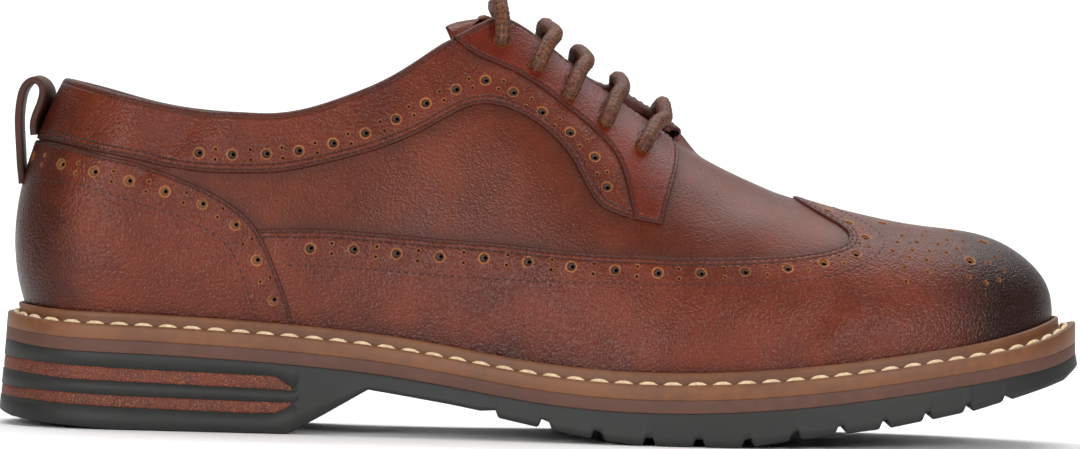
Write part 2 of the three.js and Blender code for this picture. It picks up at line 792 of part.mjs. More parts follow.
// Lace bars: each lies on both tabs and humps over the facing's edges between its two eyelets.
// Rows give the eyelet's share of the length, its share of the section's height and how far the hump leans.
const EYELETS = [
  [0.459, 0.855, -0.006],
  [0.492, 0.805, 0.009],
  [0.522, 0.765, 0.002],
  [0.556, 0.742, 0.002],
  [0.590, 0.716, 0.006],
];
function tubeAlong(points, radius, sides, steps) {
  const circle = new THREE.Shape();
  circle.absarc(0, 0, radius, 0, 2 * Math.PI, false);
  const route = new THREE.CatmullRomCurve3(points.map((point) => new THREE.Vector3(...point)));
  const options = { steps, curveSegments: sides, bevelEnabled: false, extrudePath: route };
  return solidOf(new THREE.ExtrudeGeometry(circle, options));
}

function laceBar([along, eyelet, lean]) {
  const stationAt = (share) => shareAt((share * LENGTH - TOP_BACK) / (TIP - TOP_BACK));
  const lift = -(GAP + LACE_RADIUS + EYELET_LIFT);
  const climb = [0, 0.35, 0.7, 0.95];
  const half = (side) =>
    climb.map((share) => {
      const u = side * stationAt(along + lean * share);
      const from = Math.min(eyelet, edgeShare(u));
      return offsetPoint(u, from + (edgeShare(u) - from) * share, lift);
    });
  const outer = half(-1);
  const inner = half(1).reverse();
  const middle = [0, 1, 2].map((axis) => (outer[3][axis] + inner[0][axis]) / 2);
  middle[2] += LACE_RADIUS / 2;
  return tubeAlong([...outer, middle, ...inner], LACE_RADIUS, 4, 12);
}

// Pull loop: a folded strap at the back of the collar, its line seen from the side
const LOOP_LINE = [
  [0.0095, 0.529], [0.0118, 0.559], [0.0138, 0.592], [0.0144, 0.630], [0.0132, 0.676], [0.0120, 0.723],
  [0.0133, 0.768], [0.0185, 0.802], [0.0272, 0.816], [0.0360, 0.806], [0.0392, 0.782], [0.0372, 0.756],
  [0.0320, 0.727], [0.0262, 0.697],
];
function pullLoop() {
  const line = sideLine(LOOP_LINE, 24).map(([x, z]) => new THREE.Vector2(x, z));
  const outline = [];
  const back = [];
  line.forEach((point, i) => {
    const run = line[Math.min(i + 1, line.length - 1)].clone().sub(line[Math.max(i - 1, 0)]).normalize();
    const across = new THREE.Vector2(-run.y, run.x).multiplyScalar(STRAP_THICKNESS / 2);
    outline.push([point.x + across.x, point.y + across.y]);
    back.unshift([point.x - across.x, point.y - across.y]);
  });
  const shape = new THREE.Shape([...outline, ...back].map(([x, z]) => new THREE.Vector2(x, z)));
  const geometry = new THREE.ExtrudeGeometry(shape, { depth: STRAP_WIDTH, bevelEnabled: false });
  geometry.rotateX(Math.PI / 2);
  geometry.translate(0, STRAP_WIDTH / 2, 0);
  return solidOf(geometry);
}

// Materials
const leather = new THREE.MeshStandardMaterial({ color: 0x733c26, roughness: 0.42, metalness: 0 });
const facingLeather = new THREE.MeshStandardMaterial({ color: 0x762c16, roughness: 0.4, metalness: 0 });
const weltTan = new THREE.MeshStandardMaterial({ color: 0x875a37, roughness: 0.6, metalness: 0 });
const midsoleBrown = new THREE.MeshStandardMaterial({ color: 0x694b41, roughness: 0.65, metalness: 0 });
const rubber = new THREE.MeshStandardMaterial({ color: 0x302f2c, roughness: 0.75, metalness: 0 });
const inlayRust = new THREE.MeshStandardMaterial({ color: 0x82412d, roughness: 0.7, metalness: 0 });
const insoleTan = new THREE.MeshStandardMaterial({ color: 0xa9805a, roughness: 0.7, metalness: 0 });
const laceBrown = new THREE.MeshStandardMaterial({ color: 0x6e462d, roughness: 0.7, metalness: 0 });

const shoe = new THREE.Group();
const add = (name, solid, material) => shoe.add(namedMesh(name, solid, material));

const { outsole, ...inlays } = outsoleAndInlays();
add('outsole', outsole, rubber);
for (const [name, solid] of Object.entries(inlays)) add(name, solid, inlayRust);

const midsoleLow = (u) => 0.8 * flare(u);
const midsoleHigh = (u) => 0.88 * flare(u);
const midsoleTop = (x) => weltBase(x) - GAP;
add('midsole', layerBetween(midsoleLow, midsoleBase, midsoleHigh, midsoleTop), midsoleBrown);
add('welt', weltSolid(), weltTan);

const insoleInset = () => UPPER_INSET + LEATHER_INSET + WALL + GAP;
const insoleTop = (x) => shelfHeight(x) + INSOLE_PROUD;
add('insole', layerBetween(insoleInset, weltBase, insoleInset, insoleTop), insoleTan);

add('upper', lastShell(LEATHER_INSET, LEATHER_INSET + WALL, 8), leather);
for (const [name, solid] of Object.entries(overlaySolids())) {
  add(name, solid, name.startsWith('eyelet') ? facingLeather : leather);
}
const tongueRoom = lastShell(LEATHER_INSET - GAP, LEATHER_INSET + WALL + GAP, 8);
add('tongue', tongueSolid().subtract(tongueRoom), leather);
EYELETS.slice(0, LACE_COUNT).forEach((eyelet, i) => add(`lace_bar_${i + 1}`, laceBar(eyelet), laceBrown));
add('pull_loop', pullLoop(), leather);

// The frame's origin is on the floor under the middle of the outsole
const { min, max } = outsole.boundingBox();
shoe.position.set(-(min[0] + max[0]) / 2, -(min[1] + max[1]) / 2, -min[2]);
export default shoe;
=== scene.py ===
"""A right-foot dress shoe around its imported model: punched and stitched leather, laces, welt and sole.

Shapes are worked out in the shoe's own millimetres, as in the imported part: x from the heel's back to the toe,
y towards the big toe, z up from the floor. place() turns them into metres in the frame.
"""
import math

import bmesh
import bpy
import numpy as np
from mathutils import Matrix, Vector, kdtree
from mathutils.geometry import delaunay_2d_cdt


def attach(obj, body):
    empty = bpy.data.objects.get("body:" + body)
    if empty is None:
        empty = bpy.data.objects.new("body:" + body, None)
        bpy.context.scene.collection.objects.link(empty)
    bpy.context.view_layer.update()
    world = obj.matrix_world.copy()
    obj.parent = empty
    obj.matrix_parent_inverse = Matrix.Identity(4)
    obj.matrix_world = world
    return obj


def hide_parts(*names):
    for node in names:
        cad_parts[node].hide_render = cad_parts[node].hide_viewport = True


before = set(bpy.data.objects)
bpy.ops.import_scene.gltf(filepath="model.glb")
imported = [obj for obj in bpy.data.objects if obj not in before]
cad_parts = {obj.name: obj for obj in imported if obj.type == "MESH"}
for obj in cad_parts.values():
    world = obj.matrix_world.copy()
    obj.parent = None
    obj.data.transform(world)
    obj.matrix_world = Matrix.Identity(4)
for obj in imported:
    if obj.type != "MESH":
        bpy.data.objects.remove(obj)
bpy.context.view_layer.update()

# Driving sizes of the last and the sole, in millimetres
LENGTH = 305
BALL_WIDTH = 107
WAIST_WIDTH = 69
HEEL_WIDTH = 73
HEEL_ROUND = 37
TOE_ROUND = 88
SHELF_RISE = 29.2
BACK_HEIGHT = 98
INSTEP_HEIGHT = 119
TOE_HEIGHT = 61.4
GAP = 0.3
OVERLAY = 0.9
WELT_THICKNESS = 4.2
MIDSOLE_THICKNESS = 3.6
INSOLE_PROUD = 2.4
UPPER_INSET = 7.5
LIP_HEIGHT = 3.3
LIP_THICKNESS = 1.5
TOE_WELT = 1.6
TOE_LIP = 1.1
HEEL_FLARE = 1.8
SIDE_FLARE = 0.9
TOP_BACK = 16.4
THROAT = 189.2
TIP = LENGTH - UPPER_INSET
TOP_ROUND = 27
TOE_CAP_ROUND = 32
END_CROWDING = 0.93
FACING_CORNER = 0.454
LEATHER_DEPTH = 0.8
LINING_DEPTH = OVERLAY + GAP + 2
OUTER = -1
INNER = 1
MM = 0.001


# Camera: the photograph was taken level with the shoe from its outer side, turned a little about its own axis
CAMERA_DISTANCE = 1.8
CAMERA_HEIGHT = 0.09
CAMERA_ALONG = -0.0009
AIM_HEIGHT = 0.0593
CAMERA_ROLL = 1.4
CAMERA_LENS = 211.9


def make_camera():
    data = bpy.data.cameras.new("camera")
    data.lens = CAMERA_LENS
    data.sensor_width = 36
    data.clip_start = 0.05
    data.clip_end = 20
    camera = bpy.data.objects.new("camera", data)
    camera.location = (CAMERA_ALONG, -CAMERA_DISTANCE, CAMERA_HEIGHT)
    aim = Vector((0, CAMERA_DISTANCE, AIM_HEIGHT - CAMERA_HEIGHT))
    turn = aim.to_track_quat("-Z", "Y").to_matrix() @ Matrix.Rotation(math.radians(CAMERA_ROLL), 3, "Z")
    camera.rotation_euler = turn.to_euler()
    bpy.context.scene.collection.objects.link(camera)
    bpy.context.scene.camera = camera


make_camera()


# Curves through tables
def curves(rows):
    """Natural cubic curves through a table's columns, each a function of the first column."""
    rows = np.array(rows, float)
    along = rows[:, 0]
    count = len(along)
    step = np.diff(along)
    system = np.eye(count)
    for i in range(1, count - 1):
        system[i, i - 1:i + 2] = step[i - 1], 2 * (step[i - 1] + step[i]), step[i]
    made = []
    for value in rows[:, 1:].T:
        slope = np.diff(value) / step
        bend = np.linalg.solve(system, np.concatenate([[0], 6 * np.diff(slope), [0]]))
        made.append(lambda x, value=value, bend=bend: curve_at(x, along, step, value, bend))
    return made


def curve_at(x, along, step, value, bend):
    x = np.clip(x, along[0], along[-1])
    i = np.clip(np.searchsorted(along, x) - 1, 0, len(step) - 1)
    a = (along[i + 1] - x) / step[i]
    b = (x - along[i]) / step[i]
    curve = ((a ** 3 - a) * bend[i] + (b ** 3 - b) * bend[i + 1]) * step[i] ** 2 / 6
    return a * value[i] + b * value[i + 1] + curve


def smooth(value):
    value = np.clip(value, 0, 1)
    return value * value * (3 - 2 * value)


def round_end(share, power):
    return np.maximum(0, 1 - np.clip(share, 0, 1) ** power) ** (1 / power)


HEEL_HALF = 0.5 * HEEL_WIDTH / BALL_WIDTH
plan_centre, plan_half = curves([
    [0.00, 0, HEEL_HALF],
    [0.12, 0, HEEL_HALF],
    [0.24, -0.010, 0.99 * HEEL_HALF],
    [0.36, -0.042, 0.5 * WAIST_WIDTH / BALL_WIDTH],
    [0.48, -0.063, 0.372],
    [0.58, -0.048, 0.452],
    [0.68, -0.012, 0.500],
    [0.78, 0.026, 0.506],
    [0.90, 0.044, 0.490],
    [1.00, 0.047, 0.485],
])
shelf_share, = curves([
    [0.000, 1.093],
    [0.043, 1.031],
    [0.111, 1.000],
    [0.200, 0.969],
    [0.282, 0.921],
    [0.361, 0.846],
    [0.426, 0.750],
    [0.492, 0.647],
    [0.561, 0.586],
    [0.639, 0.582],
    [0.705, 0.623],
    [0.787, 0.719],
    [0.866, 0.846],
    [0.931, 0.968],
    [0.970, 1.090],
    [1.000, 1.240],
])
collar_share, = curves([
    [0.054, 1.000],
    [0.092, 0.971],
    [0.134, 0.938],
    [0.187, 0.917],
    [0.230, 0.910],
    [0.262, 0.916],
    [0.292, 0.939],
    [0.321, 0.973],
    [0.351, 1.016],
    [0.377, 1.067],
    [0.400, 1.118],
    [0.423, 1.162],
    [0.443, 1.196],
    [0.462, 1.220],
])
facing_share, = curves([
    [0.456, 0.998],
    [0.469, 0.985],
    [0.492, 0.948],
    [0.518, 0.896],
    [0.557, 0.820],
    [0.597, 0.751],
    [0.620, 0.711],
])
top_height, top_half = curves([
    [0.054, 0.824, 0.215],
    [0.092, 0.836, 0.220],
    [0.134, 0.859, 0.215],
    [0.187, 0.892, 0.202],
    [0.230, 0.924, 0.187],
    [0.279, 0.965, 0.167],
    [0.321, 0.997, 0.148],
    [0.361, 1.009, 0.127],
    [0.400, 1.018, 0.107],
    [0.433, 1.017, 0.092],
    [0.456, 1.005, 0.080],
    [0.475, 0.983, 0.073],
    [0.495, 0.949, 0.066],
    [0.525, 0.887, 0.053],
    [0.557, 0.824, 0.037],
    [0.597, 0.755, 0.015],
    [0.620, 0.713, 0.001],
])
ridge_share, = curves([
    [0.620, 1.099],
    [0.636, 1.054],
    [0.662, 0.980],
    [0.692, 0.904],
    [0.718, 0.842],
    [0.741, 0.798],
    [0.767, 0.748],
    [0.797, 0.694],
    [0.826, 0.645],
    [0.859, 0.598],
    [0.892, 0.555],
    [0.931, 0.478],
    [1.000, 0.255],
])
spine_share, = curves([
    [0.054, 0.000],
    [0.200, 0.000],
    [0.330, 0.005],
    [0.456, 0.014],
    [0.620, 0.023],
    [0.787, 0.039],
    [1.000, 0.047],
])
rise, drop, outer_bulge, inner_bulge, outer_crown, inner_crown = curves([
    [0.00, 0.277, 0.42, 0.070, 0.070, 0.133, 0.133],
    [0.08, 0.300, 0.42, 0.052, 0.052, 0.070, 0.070],
    [0.19, 0.320, 0.40, 0.041, 0.045, 0.051, 0.051],
    [0.30, 0.360, 0.33, 0.036, 0.054, 0.056, 0.056],
    [0.39, 0.400, 0.22, 0.032, 0.071, 0.089, 0.079],
    [0.50, 0.430, 0.08, 0.030, 0.065, 0.173, 0.131],
    [0.62, 0.460, 0.00, 0.030, 0.039, 0.243, 0.206],
    [0.74, 0.500, 0.00, 0.026, 0.028, 0.266, 0.257],
    [0.86, 0.550, 0.00, 0.019, 0.019, 0.262, 0.262],
    [1.00, 0.600, 0.00, 0.000, 0.000, 0.252, 0.252],
])


# The last's surface: u from -1 at the toe over the outer side to 0 at the heel and on to 1, v from 0 to 1
def spread(share):
    return share - END_CROWDING * np.sin(2 * np.pi * share) / (2 * np.pi)


SHARES = np.linspace(0, 1, 4001)


def share_at(target):
    return np.interp(target, spread(SHARES), SHARES)


def shelf_height(x):
    return shelf_share(np.asarray(x) / LENGTH) * SHELF_RISE


def plan_point(u):
    u = (np.asarray(u, float) + 1) % 2 - 1
    side = np.where(u < 0, -1.0, 1.0)
    along = spread(np.abs(u))
    x = along * LENGTH
    ends = round_end((HEEL_ROUND - x) / HEEL_ROUND, 2.3)
    ends = ends * round_end((x - (LENGTH - TOE_ROUND)) / TOE_ROUND, 2.2)
    return np.stack([x, (plan_centre(along) + side * plan_half(along) * ends) * BALL_WIDTH], -1)


def plan_normal(u):
    run = plan_point(np.asarray(u) + 0.001) - plan_point(np.asarray(u) - 0.001)
    run /= np.linalg.norm(run, axis=-1, keepdims=True)
    return np.stack([-run[..., 1], run[..., 0]], -1)


def rim_point(u, inset):
    return plan_point(u) - plan_normal(u) * np.broadcast_to(inset, np.shape(u))[..., None]


def top_point(u):
    u = np.asarray(u, float)
    side = np.where(u < 0, -1.0, 1.0)
    x = TOP_BACK + (TIP - TOP_BACK) * spread(np.abs(u))
    along = x / LENGTH
    end = round_end((x - (TIP - TOE_CAP_ROUND)) / TOE_CAP_ROUND, 3.5)
    vamp = shelf_height(x) + GAP + ridge_share(along) * TOE_HEIGHT * end
    half = top_half(along) * BALL_WIDTH * round_end((TOP_BACK + TOP_ROUND - x) / TOP_ROUND, 2.1)
    is_open = x < THROAT
    y = spine_share(along) * BALL_WIDTH + np.where(is_open, side * half, 0)
    return np.stack([x, y, np.where(is_open, top_height(along) * INSTEP_HEIGHT, vamp)], -1)


def last_point(u, v):
    u, v = np.broadcast_arrays(np.asarray(u, float), np.asarray(v, float))
    outer = u < 0
    side = np.where(outer, -1.0, 1.0)
    along = spread(np.abs(u))
    normal = plan_normal(u)
    foot = plan_point(u) - normal * UPPER_INSET
    low = np.concatenate([foot, (shelf_height(foot[..., 0]) + GAP)[..., None]], -1)
    high = top_point(u)
    height = high[..., 2] - low[..., 2]
    toe_start = LENGTH - TOE_ROUND
    toe = round_end((high[..., 0] - toe_start) / (TIP - toe_start), 2.2)
    bulge = np.where(outer, outer_bulge(along), inner_bulge(along)) * BALL_WIDTH
    crown = np.where(outer, outer_crown(along), inner_crown(along)) * BALL_WIDTH * toe
    heel = smooth(1 - along / 0.25)
    out = np.stack([normal[..., 0] * heel, normal[..., 1] * heel + side * (1 - heel)], -1)
    out /= np.linalg.norm(out, axis=-1, keepdims=True)
    lower = low + np.concatenate([normal * bulge[..., None], (rise(along) * height)[..., None]], -1)
    upper = high + np.concatenate([out * crown[..., None], (-drop(along) * height)[..., None]], -1)
    w = v[..., None]
    return (1 - w) ** 3 * low + 3 * (1 - w) ** 2 * w * lower + 3 * (1 - w) * w * w * upper + w ** 3 * high


def last_normal(u, v):
    u, v = np.broadcast_arrays(np.asarray(u, float), np.asarray(v, float))
    near = np.clip(np.abs(u), 0, 0.995) * np.where(u < 0, -1, 1)
    along_u = last_point(near + 0.002, v) - last_point(near - 0.002, v)
    along_v = last_point(near, np.minimum(v + 0.004, 1)) - last_point(near, np.maximum(v - 0.004, 0))
    normal = np.cross(along_v, along_u)
    return normal / np.linalg.norm(normal, axis=-1, keepdims=True)


def edge_height(x):
    share = x / LENGTH
    return np.where(share < FACING_CORNER, collar_share(share) * BACK_HEIGHT, facing_share(share) * INSTEP_HEIGHT)


EDGE_STATIONS = np.linspace(-1, 1, 8001)


def find_edge(u):
    """Share of a section's height at which the leather ends: the collar, the facing, then the closed vamp."""
    low = np.zeros_like(u)
    high = np.ones_like(u)
    for _ in range(30):
        middle = (low + high) / 2
        point = last_point(u, middle)
        below = point[..., 2] < edge_height(point[..., 0])
        low = np.where(below, middle, low)
        high = np.where(below, high, middle)
    return np.where(top_point(u)[..., 0] >= THROAT, 1.0, high)


EDGE_SHARES = find_edge(EDGE_STATIONS)


def edge_share(u):
    return np.interp(u, EDGE_STATIONS, EDGE_SHARES)


# The pattern: the leather laid nearly flat, in millimetres from the back seam and up from the sole
GIRTH = 80
PATTERN_LINE = last_point(-SHARES, 0.45)
PATTERN_RUN = np.concatenate([[0], np.cumsum(np.linalg.norm(np.diff(PATTERN_LINE, axis=0), axis=1))])


def to_pattern(points):
    """From shares along the last and up its side to the pattern."""
    points = np.asarray(points, float)
    return np.stack([np.interp(share_at(points[:, 0]), SHARES, PATTERN_RUN), points[:, 1] * GIRTH], -1)


def from_pattern(spots, side):
    share = np.sign(spots[..., 0]) * np.interp(np.abs(spots[..., 0]), PATTERN_RUN, SHARES)
    return side * share, spots[..., 1] / GIRTH


# Soft dents and swellings worn into the leather: side, start and end as shares along the last and up its side,
# then the width across in millimetres and the rise, which is negative for a trough
DENTS = [
    (OUTER, (0.168, 0.930), (0.112, 0.640), 4.5, -1.60),
    (OUTER, (0.085, 0.860), (0.075, 0.720), 8.0, 1.00),
    (OUTER, (0.200, 0.900), (0.180, 0.700), 6.0, 0.90),
    (OUTER, (0.720, 0.060), (0.775, 0.300), 5.0, -0.55),
    (OUTER, (0.755, 0.060), (0.800, 0.280), 5.0, 0.50),
    (OUTER, (0.560, 0.080), (0.600, 0.230), 9.0, -0.60),
    (OUTER, (0.610, 0.060), (0.660, 0.260), 9.0, 0.50),
    (OUTER, (0.450, 0.400), (0.540, 0.360), 12.0, -0.70),
    (OUTER, (0.330, 0.380), (0.400, 0.420), 12.0, -0.50),
    (OUTER, (0.650, 0.600), (0.690, 0.800), 7.0, -0.50),
    (OUTER, (0.690, 0.560), (0.730, 0.780), 6.0, 0.40),
    (INNER, (0.555, 0.930), (0.612, 0.925), 6.5, 4.2),
    (INNER, (0.130, 0.880), (0.160, 0.640), 8.0, -0.90),
    (INNER, (0.560, 0.080), (0.610, 0.260), 9.0, -0.60),
    (INNER, (0.640, 0.080), (0.690, 0.300), 8.0, -0.50),
    (INNER, (0.740, 0.060), (0.790, 0.280), 6.0, -0.45),
    (INNER, (0.640, 0.620), (0.690, 0.820), 7.0, -0.45),
    (INNER, (0.420, 0.380), (0.520, 0.340), 12.0, -0.70),
]


def relief(spots, side):
    total = np.zeros(len(spots))
    for dent_side, start, end, width, height in DENTS:
        if dent_side != side:
            continue
        first, last = to_pattern([start, end])
        run = last - first
        share = np.clip(((spots - first) @ run) / (run @ run), 0, 1)
        away = np.linalg.norm(spots - first - share[:, None] * run, axis=1)
        total += height * np.exp(-(away / width) ** 2)
    fade = smooth(spots[:, 0] / 12) * smooth((GIRTH - spots[:, 1]) / 8) * smooth(spots[:, 1] / 6)
    return total * fade


def skin(spots, side, depth=0.0):
    """Points on the leather, at a depth below the last's outermost surface."""
    spots = np.asarray(spots, float)
    u, v = from_pattern(spots, side)
    normal = last_normal(u, v)
    ridge = (v > 0.9999) & (np.abs(u) > 0.3)
    if ridge.any():
        both = normal[ridge] + last_normal(-u[ridge], v[ridge])
        normal[ridge] = both / np.linalg.norm(both, axis=-1, keepdims=True)
    tip = np.abs(u) > 0.9999
    if tip.any():
        normal[tip] = (1, 0, 0)
    lowered = np.broadcast_to(depth, len(spots)) - relief(spots, side)
    return last_point(u, v) - normal * lowered[:, None]


def metric(spots, side):
    """How a step on the pattern moves a point on the leather, as a 2 by 2 matrix in the leather's own plane."""
    step = 0.4
    ahead, back = spots + [step, 0], spots - [step, 0]
    up, down = spots + [0, step], spots - [0, step]
    at = lambda place: last_point(*from_pattern(place, side))
    run_a = (at(ahead) - at(back)) / (2 * step)
    run_b = (at(up) - at(down)) / (2 * step)
    first = run_a / np.linalg.norm(run_a, axis=-1, keepdims=True)
    square = np.cross(np.cross(run_a, run_b), first)
    second = square / np.maximum(np.linalg.norm(square, axis=-1, keepdims=True), 1e-9)
    dot = lambda one, other: np.sum(one * other, axis=-1)
    made = np.stack([dot(first, run_a), dot(first, run_b), dot(second, run_a), dot(second, run_b)], -1)
    return made.reshape(-1, 2, 2)


def off_pattern(spots, side, moves):
    """Moves over the leather in millimetres as moves on the pattern."""
    local = metric(spots, side)
    size = np.linalg.det(local)
    local[np.abs(size) < 0.05] = np.eye(2)
    return np.linalg.solve(local, moves[..., None])[..., 0]


def flow(points, step=1.2):
    """A smooth line through a few spots of the pattern, with spots an even step apart."""
    points = np.asarray(points, float)
    run = np.concatenate([[0], np.cumsum(np.linalg.norm(np.diff(points, axis=0), axis=1))])
    if len(points) == 2:
        across = lambda at: points[0] + (points[1] - points[0]) * at[:, None] / run[-1]
    else:
        x, y = curves(np.column_stack([run, points]))
        across = lambda at: np.stack([x(at), y(at)], -1)
    count = max(2, int(round(run[-1] / step)) + 1)
    return across(np.linspace(0, run[-1], count))


# Meshes
outline_y = plan_point(np.linspace(-1, 1, 4001))[:, 1]
CENTRE = np.array([LENGTH / 2, (outline_y.min() + outline_y.max()) / 2, 0])


def place(points):
    return (np.asarray(points, float) - CENTRE) * MM


# What a point carries for its material: worn edge, or painted shade on the base leather, the welt and the laces;
# punched rim; stitched row, with painted shade along it; height above the sole
PLAIN = (0, 0, 0, 1)


class Batch:
    """Points and faces of one piece, gathered from several calls."""

    def __init__(self):
        self.points = []
        self.faces = []
        self.paints = []
        self.marks = []

    def add(self, points, faces, paint=0, marks=None):
        start = len(self.points)
        self.points.extend(np.asarray(points, float).tolist())
        self.faces.extend([[start + i for i in face] for face in faces])
        self.paints.extend([paint] * len(faces))
        self.marks.extend(np.tile(PLAIN, (len(points), 1)).tolist() if marks is None else np.asarray(marks).tolist())

    def grid(self, rows, closed=False, flip=False, paint=0, marks=None):
        """Faces over rows of points; each row is closed into a ring if asked."""
        rows = np.asarray(rows, float)
        lines, count = rows.shape[:2]
        faces = []
        for i in range(lines - 1):
            for j in range(count if closed else count - 1):
                k = (j + 1) % count
                face = [i * count + j, i * count + k, (i + 1) * count + k, (i + 1) * count + j]
                faces.append(face[::-1] if flip else face)
        marks = None if marks is None else np.asarray(marks, float).reshape(-1, 4)
        self.add(rows.reshape(-1, 3), faces, paint, marks)


def build(name, batch, materials, nodes=(), weld=0.0, smooth_shade=True):
    mesh = bpy.data.meshes.new(name)
    mesh.from_pydata(place(batch.points).tolist(), [], batch.faces)
    marks = mesh.color_attributes.new("marks", "FLOAT_COLOR", "POINT")
    marks.data.foreach_set("color", np.asarray(batch.marks, float).ravel())
    mesh.polygons.foreach_set("material_index", batch.paints)
    mesh.polygons.foreach_set("use_smooth", [smooth_shade] * len(batch.faces))
    for material in materials:
        mesh.materials.append(material)
    if weld:
        work = bmesh.new()
        work.from_mesh(mesh)
        bmesh.ops.remove_doubles(work, verts=work.verts, dist=weld * MM)
        work.to_mesh(mesh)
        work.free()
    mesh.validate()
    piece = bpy.data.objects.new(name, mesh)
    bpy.context.scene.collection.objects.link(piece)
    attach(piece, "root")
    if nodes:
        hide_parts(*nodes)
    return piece


# Leather panels cut from the pattern
OPEN, CUT, FOLD = 0, 1, 2
EDGE_ROWS = {
    OPEN: [(0, 0)],
    CUT: [(0.35, 0), (0.20, 0.04), (0.07, 0.14), (0, 0.32), (0, 0.75), (0, LEATHER_DEPTH + 0.15)],
    FOLD: [(1.3 * (1 - math.sin(turn)), 1.6 * (1 - math.cos(turn))) for turn in np.linspace(0, math.pi, 9)]
    + [(3.0, 3.3), (6.0, 3.5)],
}
STEP_IN = {OPEN: 0, CUT: 0.35, FOLD: 1.3}
LOW_BAND = 20
# Rings round a punched hole: distance from its rim, depth, and how much of its stain they carry
HOLE_RINGS = [(0, 0.16, 1.0), (0.22, 0.02, 1.0), (0.42, -0.05, 0.6), (0.75, 0, 0)]
SMALL_HOLE_RINGS = [(0, 0.12, 0.9), (0.14, -0.02, 0.7), (0.40, 0, 0)]
RING_STEPS = [0.35, 0.65, 0.95, 1.35, 1.65, 1.95, 2.25, 2.8]
FIRST_ROW = 0.65
SECOND_ROW = 1.95
DOUBLE_ROW = [FIRST_ROW, SECOND_ROW]


def inset(loop, side, reach):
    """Moves each edge of a closed outline inward over the leather by its own distance."""
    local = metric(loop, side)
    leave = np.roll(loop, -1, axis=0) - loop
    flat_leave = np.einsum("nij,nj->ni", local, leave)
    flat_arrive = np.einsum("nij,nj->ni", local, np.roll(leave, 1, axis=0))
    normals = []
    for run in (flat_arrive, flat_leave):
        run = run / np.maximum(np.linalg.norm(run, axis=1, keepdims=True), 1e-9)
        normals.append(np.stack([-run[:, 1], run[:, 0]], -1))
    n1, n2 = normals
    d1, d2 = np.roll(reach, 1), reach
    turn = n1[:, 0] * n2[:, 1] - n1[:, 1] * n2[:, 0]
    middle = n1 + n2
    middle /= np.maximum(np.linalg.norm(middle, axis=1, keepdims=True), 1e-9)
    straight = middle * ((d1 + d2) / 2)[:, None]
    safe = np.where(np.abs(turn) < 0.15, 1, turn)
    mitred = np.stack([d1 * n2[:, 1] - d2 * n1[:, 1], d2 * n1[:, 0] - d1 * n2[:, 0]], -1) / safe[:, None]
    moves = np.where(np.abs(turn)[:, None] < 0.15, straight, mitred)
    most = 2.2 * np.maximum(d1, d2)
    size = np.linalg.norm(moves, axis=1)
    moves *= np.minimum(1, most / np.maximum(size, 1e-9))[:, None]
    return loop + off_pattern(loop, side, moves)


def inside(points, polygon):
    """Which points lie in a polygon."""
    x, y = points[:, 0][:, None], points[:, 1][:, None]
    x1, y1 = polygon[:, 0], polygon[:, 1]
    x2, y2 = np.roll(x1, -1), np.roll(y1, -1)
    crosses = (y1 > y) != (y2 > y)
    level = np.where(crosses, y2 - y1, 1)
    return (np.sum(crosses & (x < (x2 - x1) * (y - y1) / level + x1), axis=1) % 2) == 1


def joined(segments):
    """A closed outline from its segments, with the kind and the segment's number of each edge."""
    spots, kinds, numbers = [], [], []
    for number, (line, kind) in enumerate(segments):
        spots.extend(line[:-1])
        kinds.extend([kind] * (len(line) - 1))
        numbers.extend([number] * (len(line) - 1))
    spots, kinds, numbers = np.array(spots), np.array(kinds), np.array(numbers)
    ahead = np.roll(spots, -1, axis=0)
    keep = np.linalg.norm(ahead - spots, axis=1) > 1e-3
    spots, kinds, numbers = spots[keep], kinds[keep], numbers[keep]
    area = np.sum(spots[:, 0] * np.roll(spots[:, 1], -1) - np.roll(spots[:, 0], -1) * spots[:, 1])
    if area < 0:
        spots = spots[::-1]
        kinds = np.roll(kinds[::-1], -1)
        numbers = np.roll(numbers[::-1], -1)
    return spots, kinds, numbers


def distance(spots, line):
    """From each spot to the nearest of a line's points, on the pattern."""
    near = np.full(len(spots), 1e6)
    for first in range(0, len(line), 80):
        away = np.linalg.norm(spots[:, None] - line[None, first:first + 80], axis=2)
        near = np.minimum(near, away.min(axis=1))
    return near


def height_mark(spots):
    return np.clip(spots[:, 1] / LOW_BAND, 0, 1)


def circles(spots, side, reach, sides):
    """Rings of points round each spot, truly round on the leather."""
    turns = np.linspace(0, 2 * np.pi, sides, endpoint=False)
    circle = np.tile(np.stack([np.cos(turns), np.sin(turns)], -1), (len(spots), 1)) * reach
    centres = np.repeat(spots, sides, axis=0)
    return (centres + off_pattern(centres, side, circle)).reshape(len(spots), sides, 2)


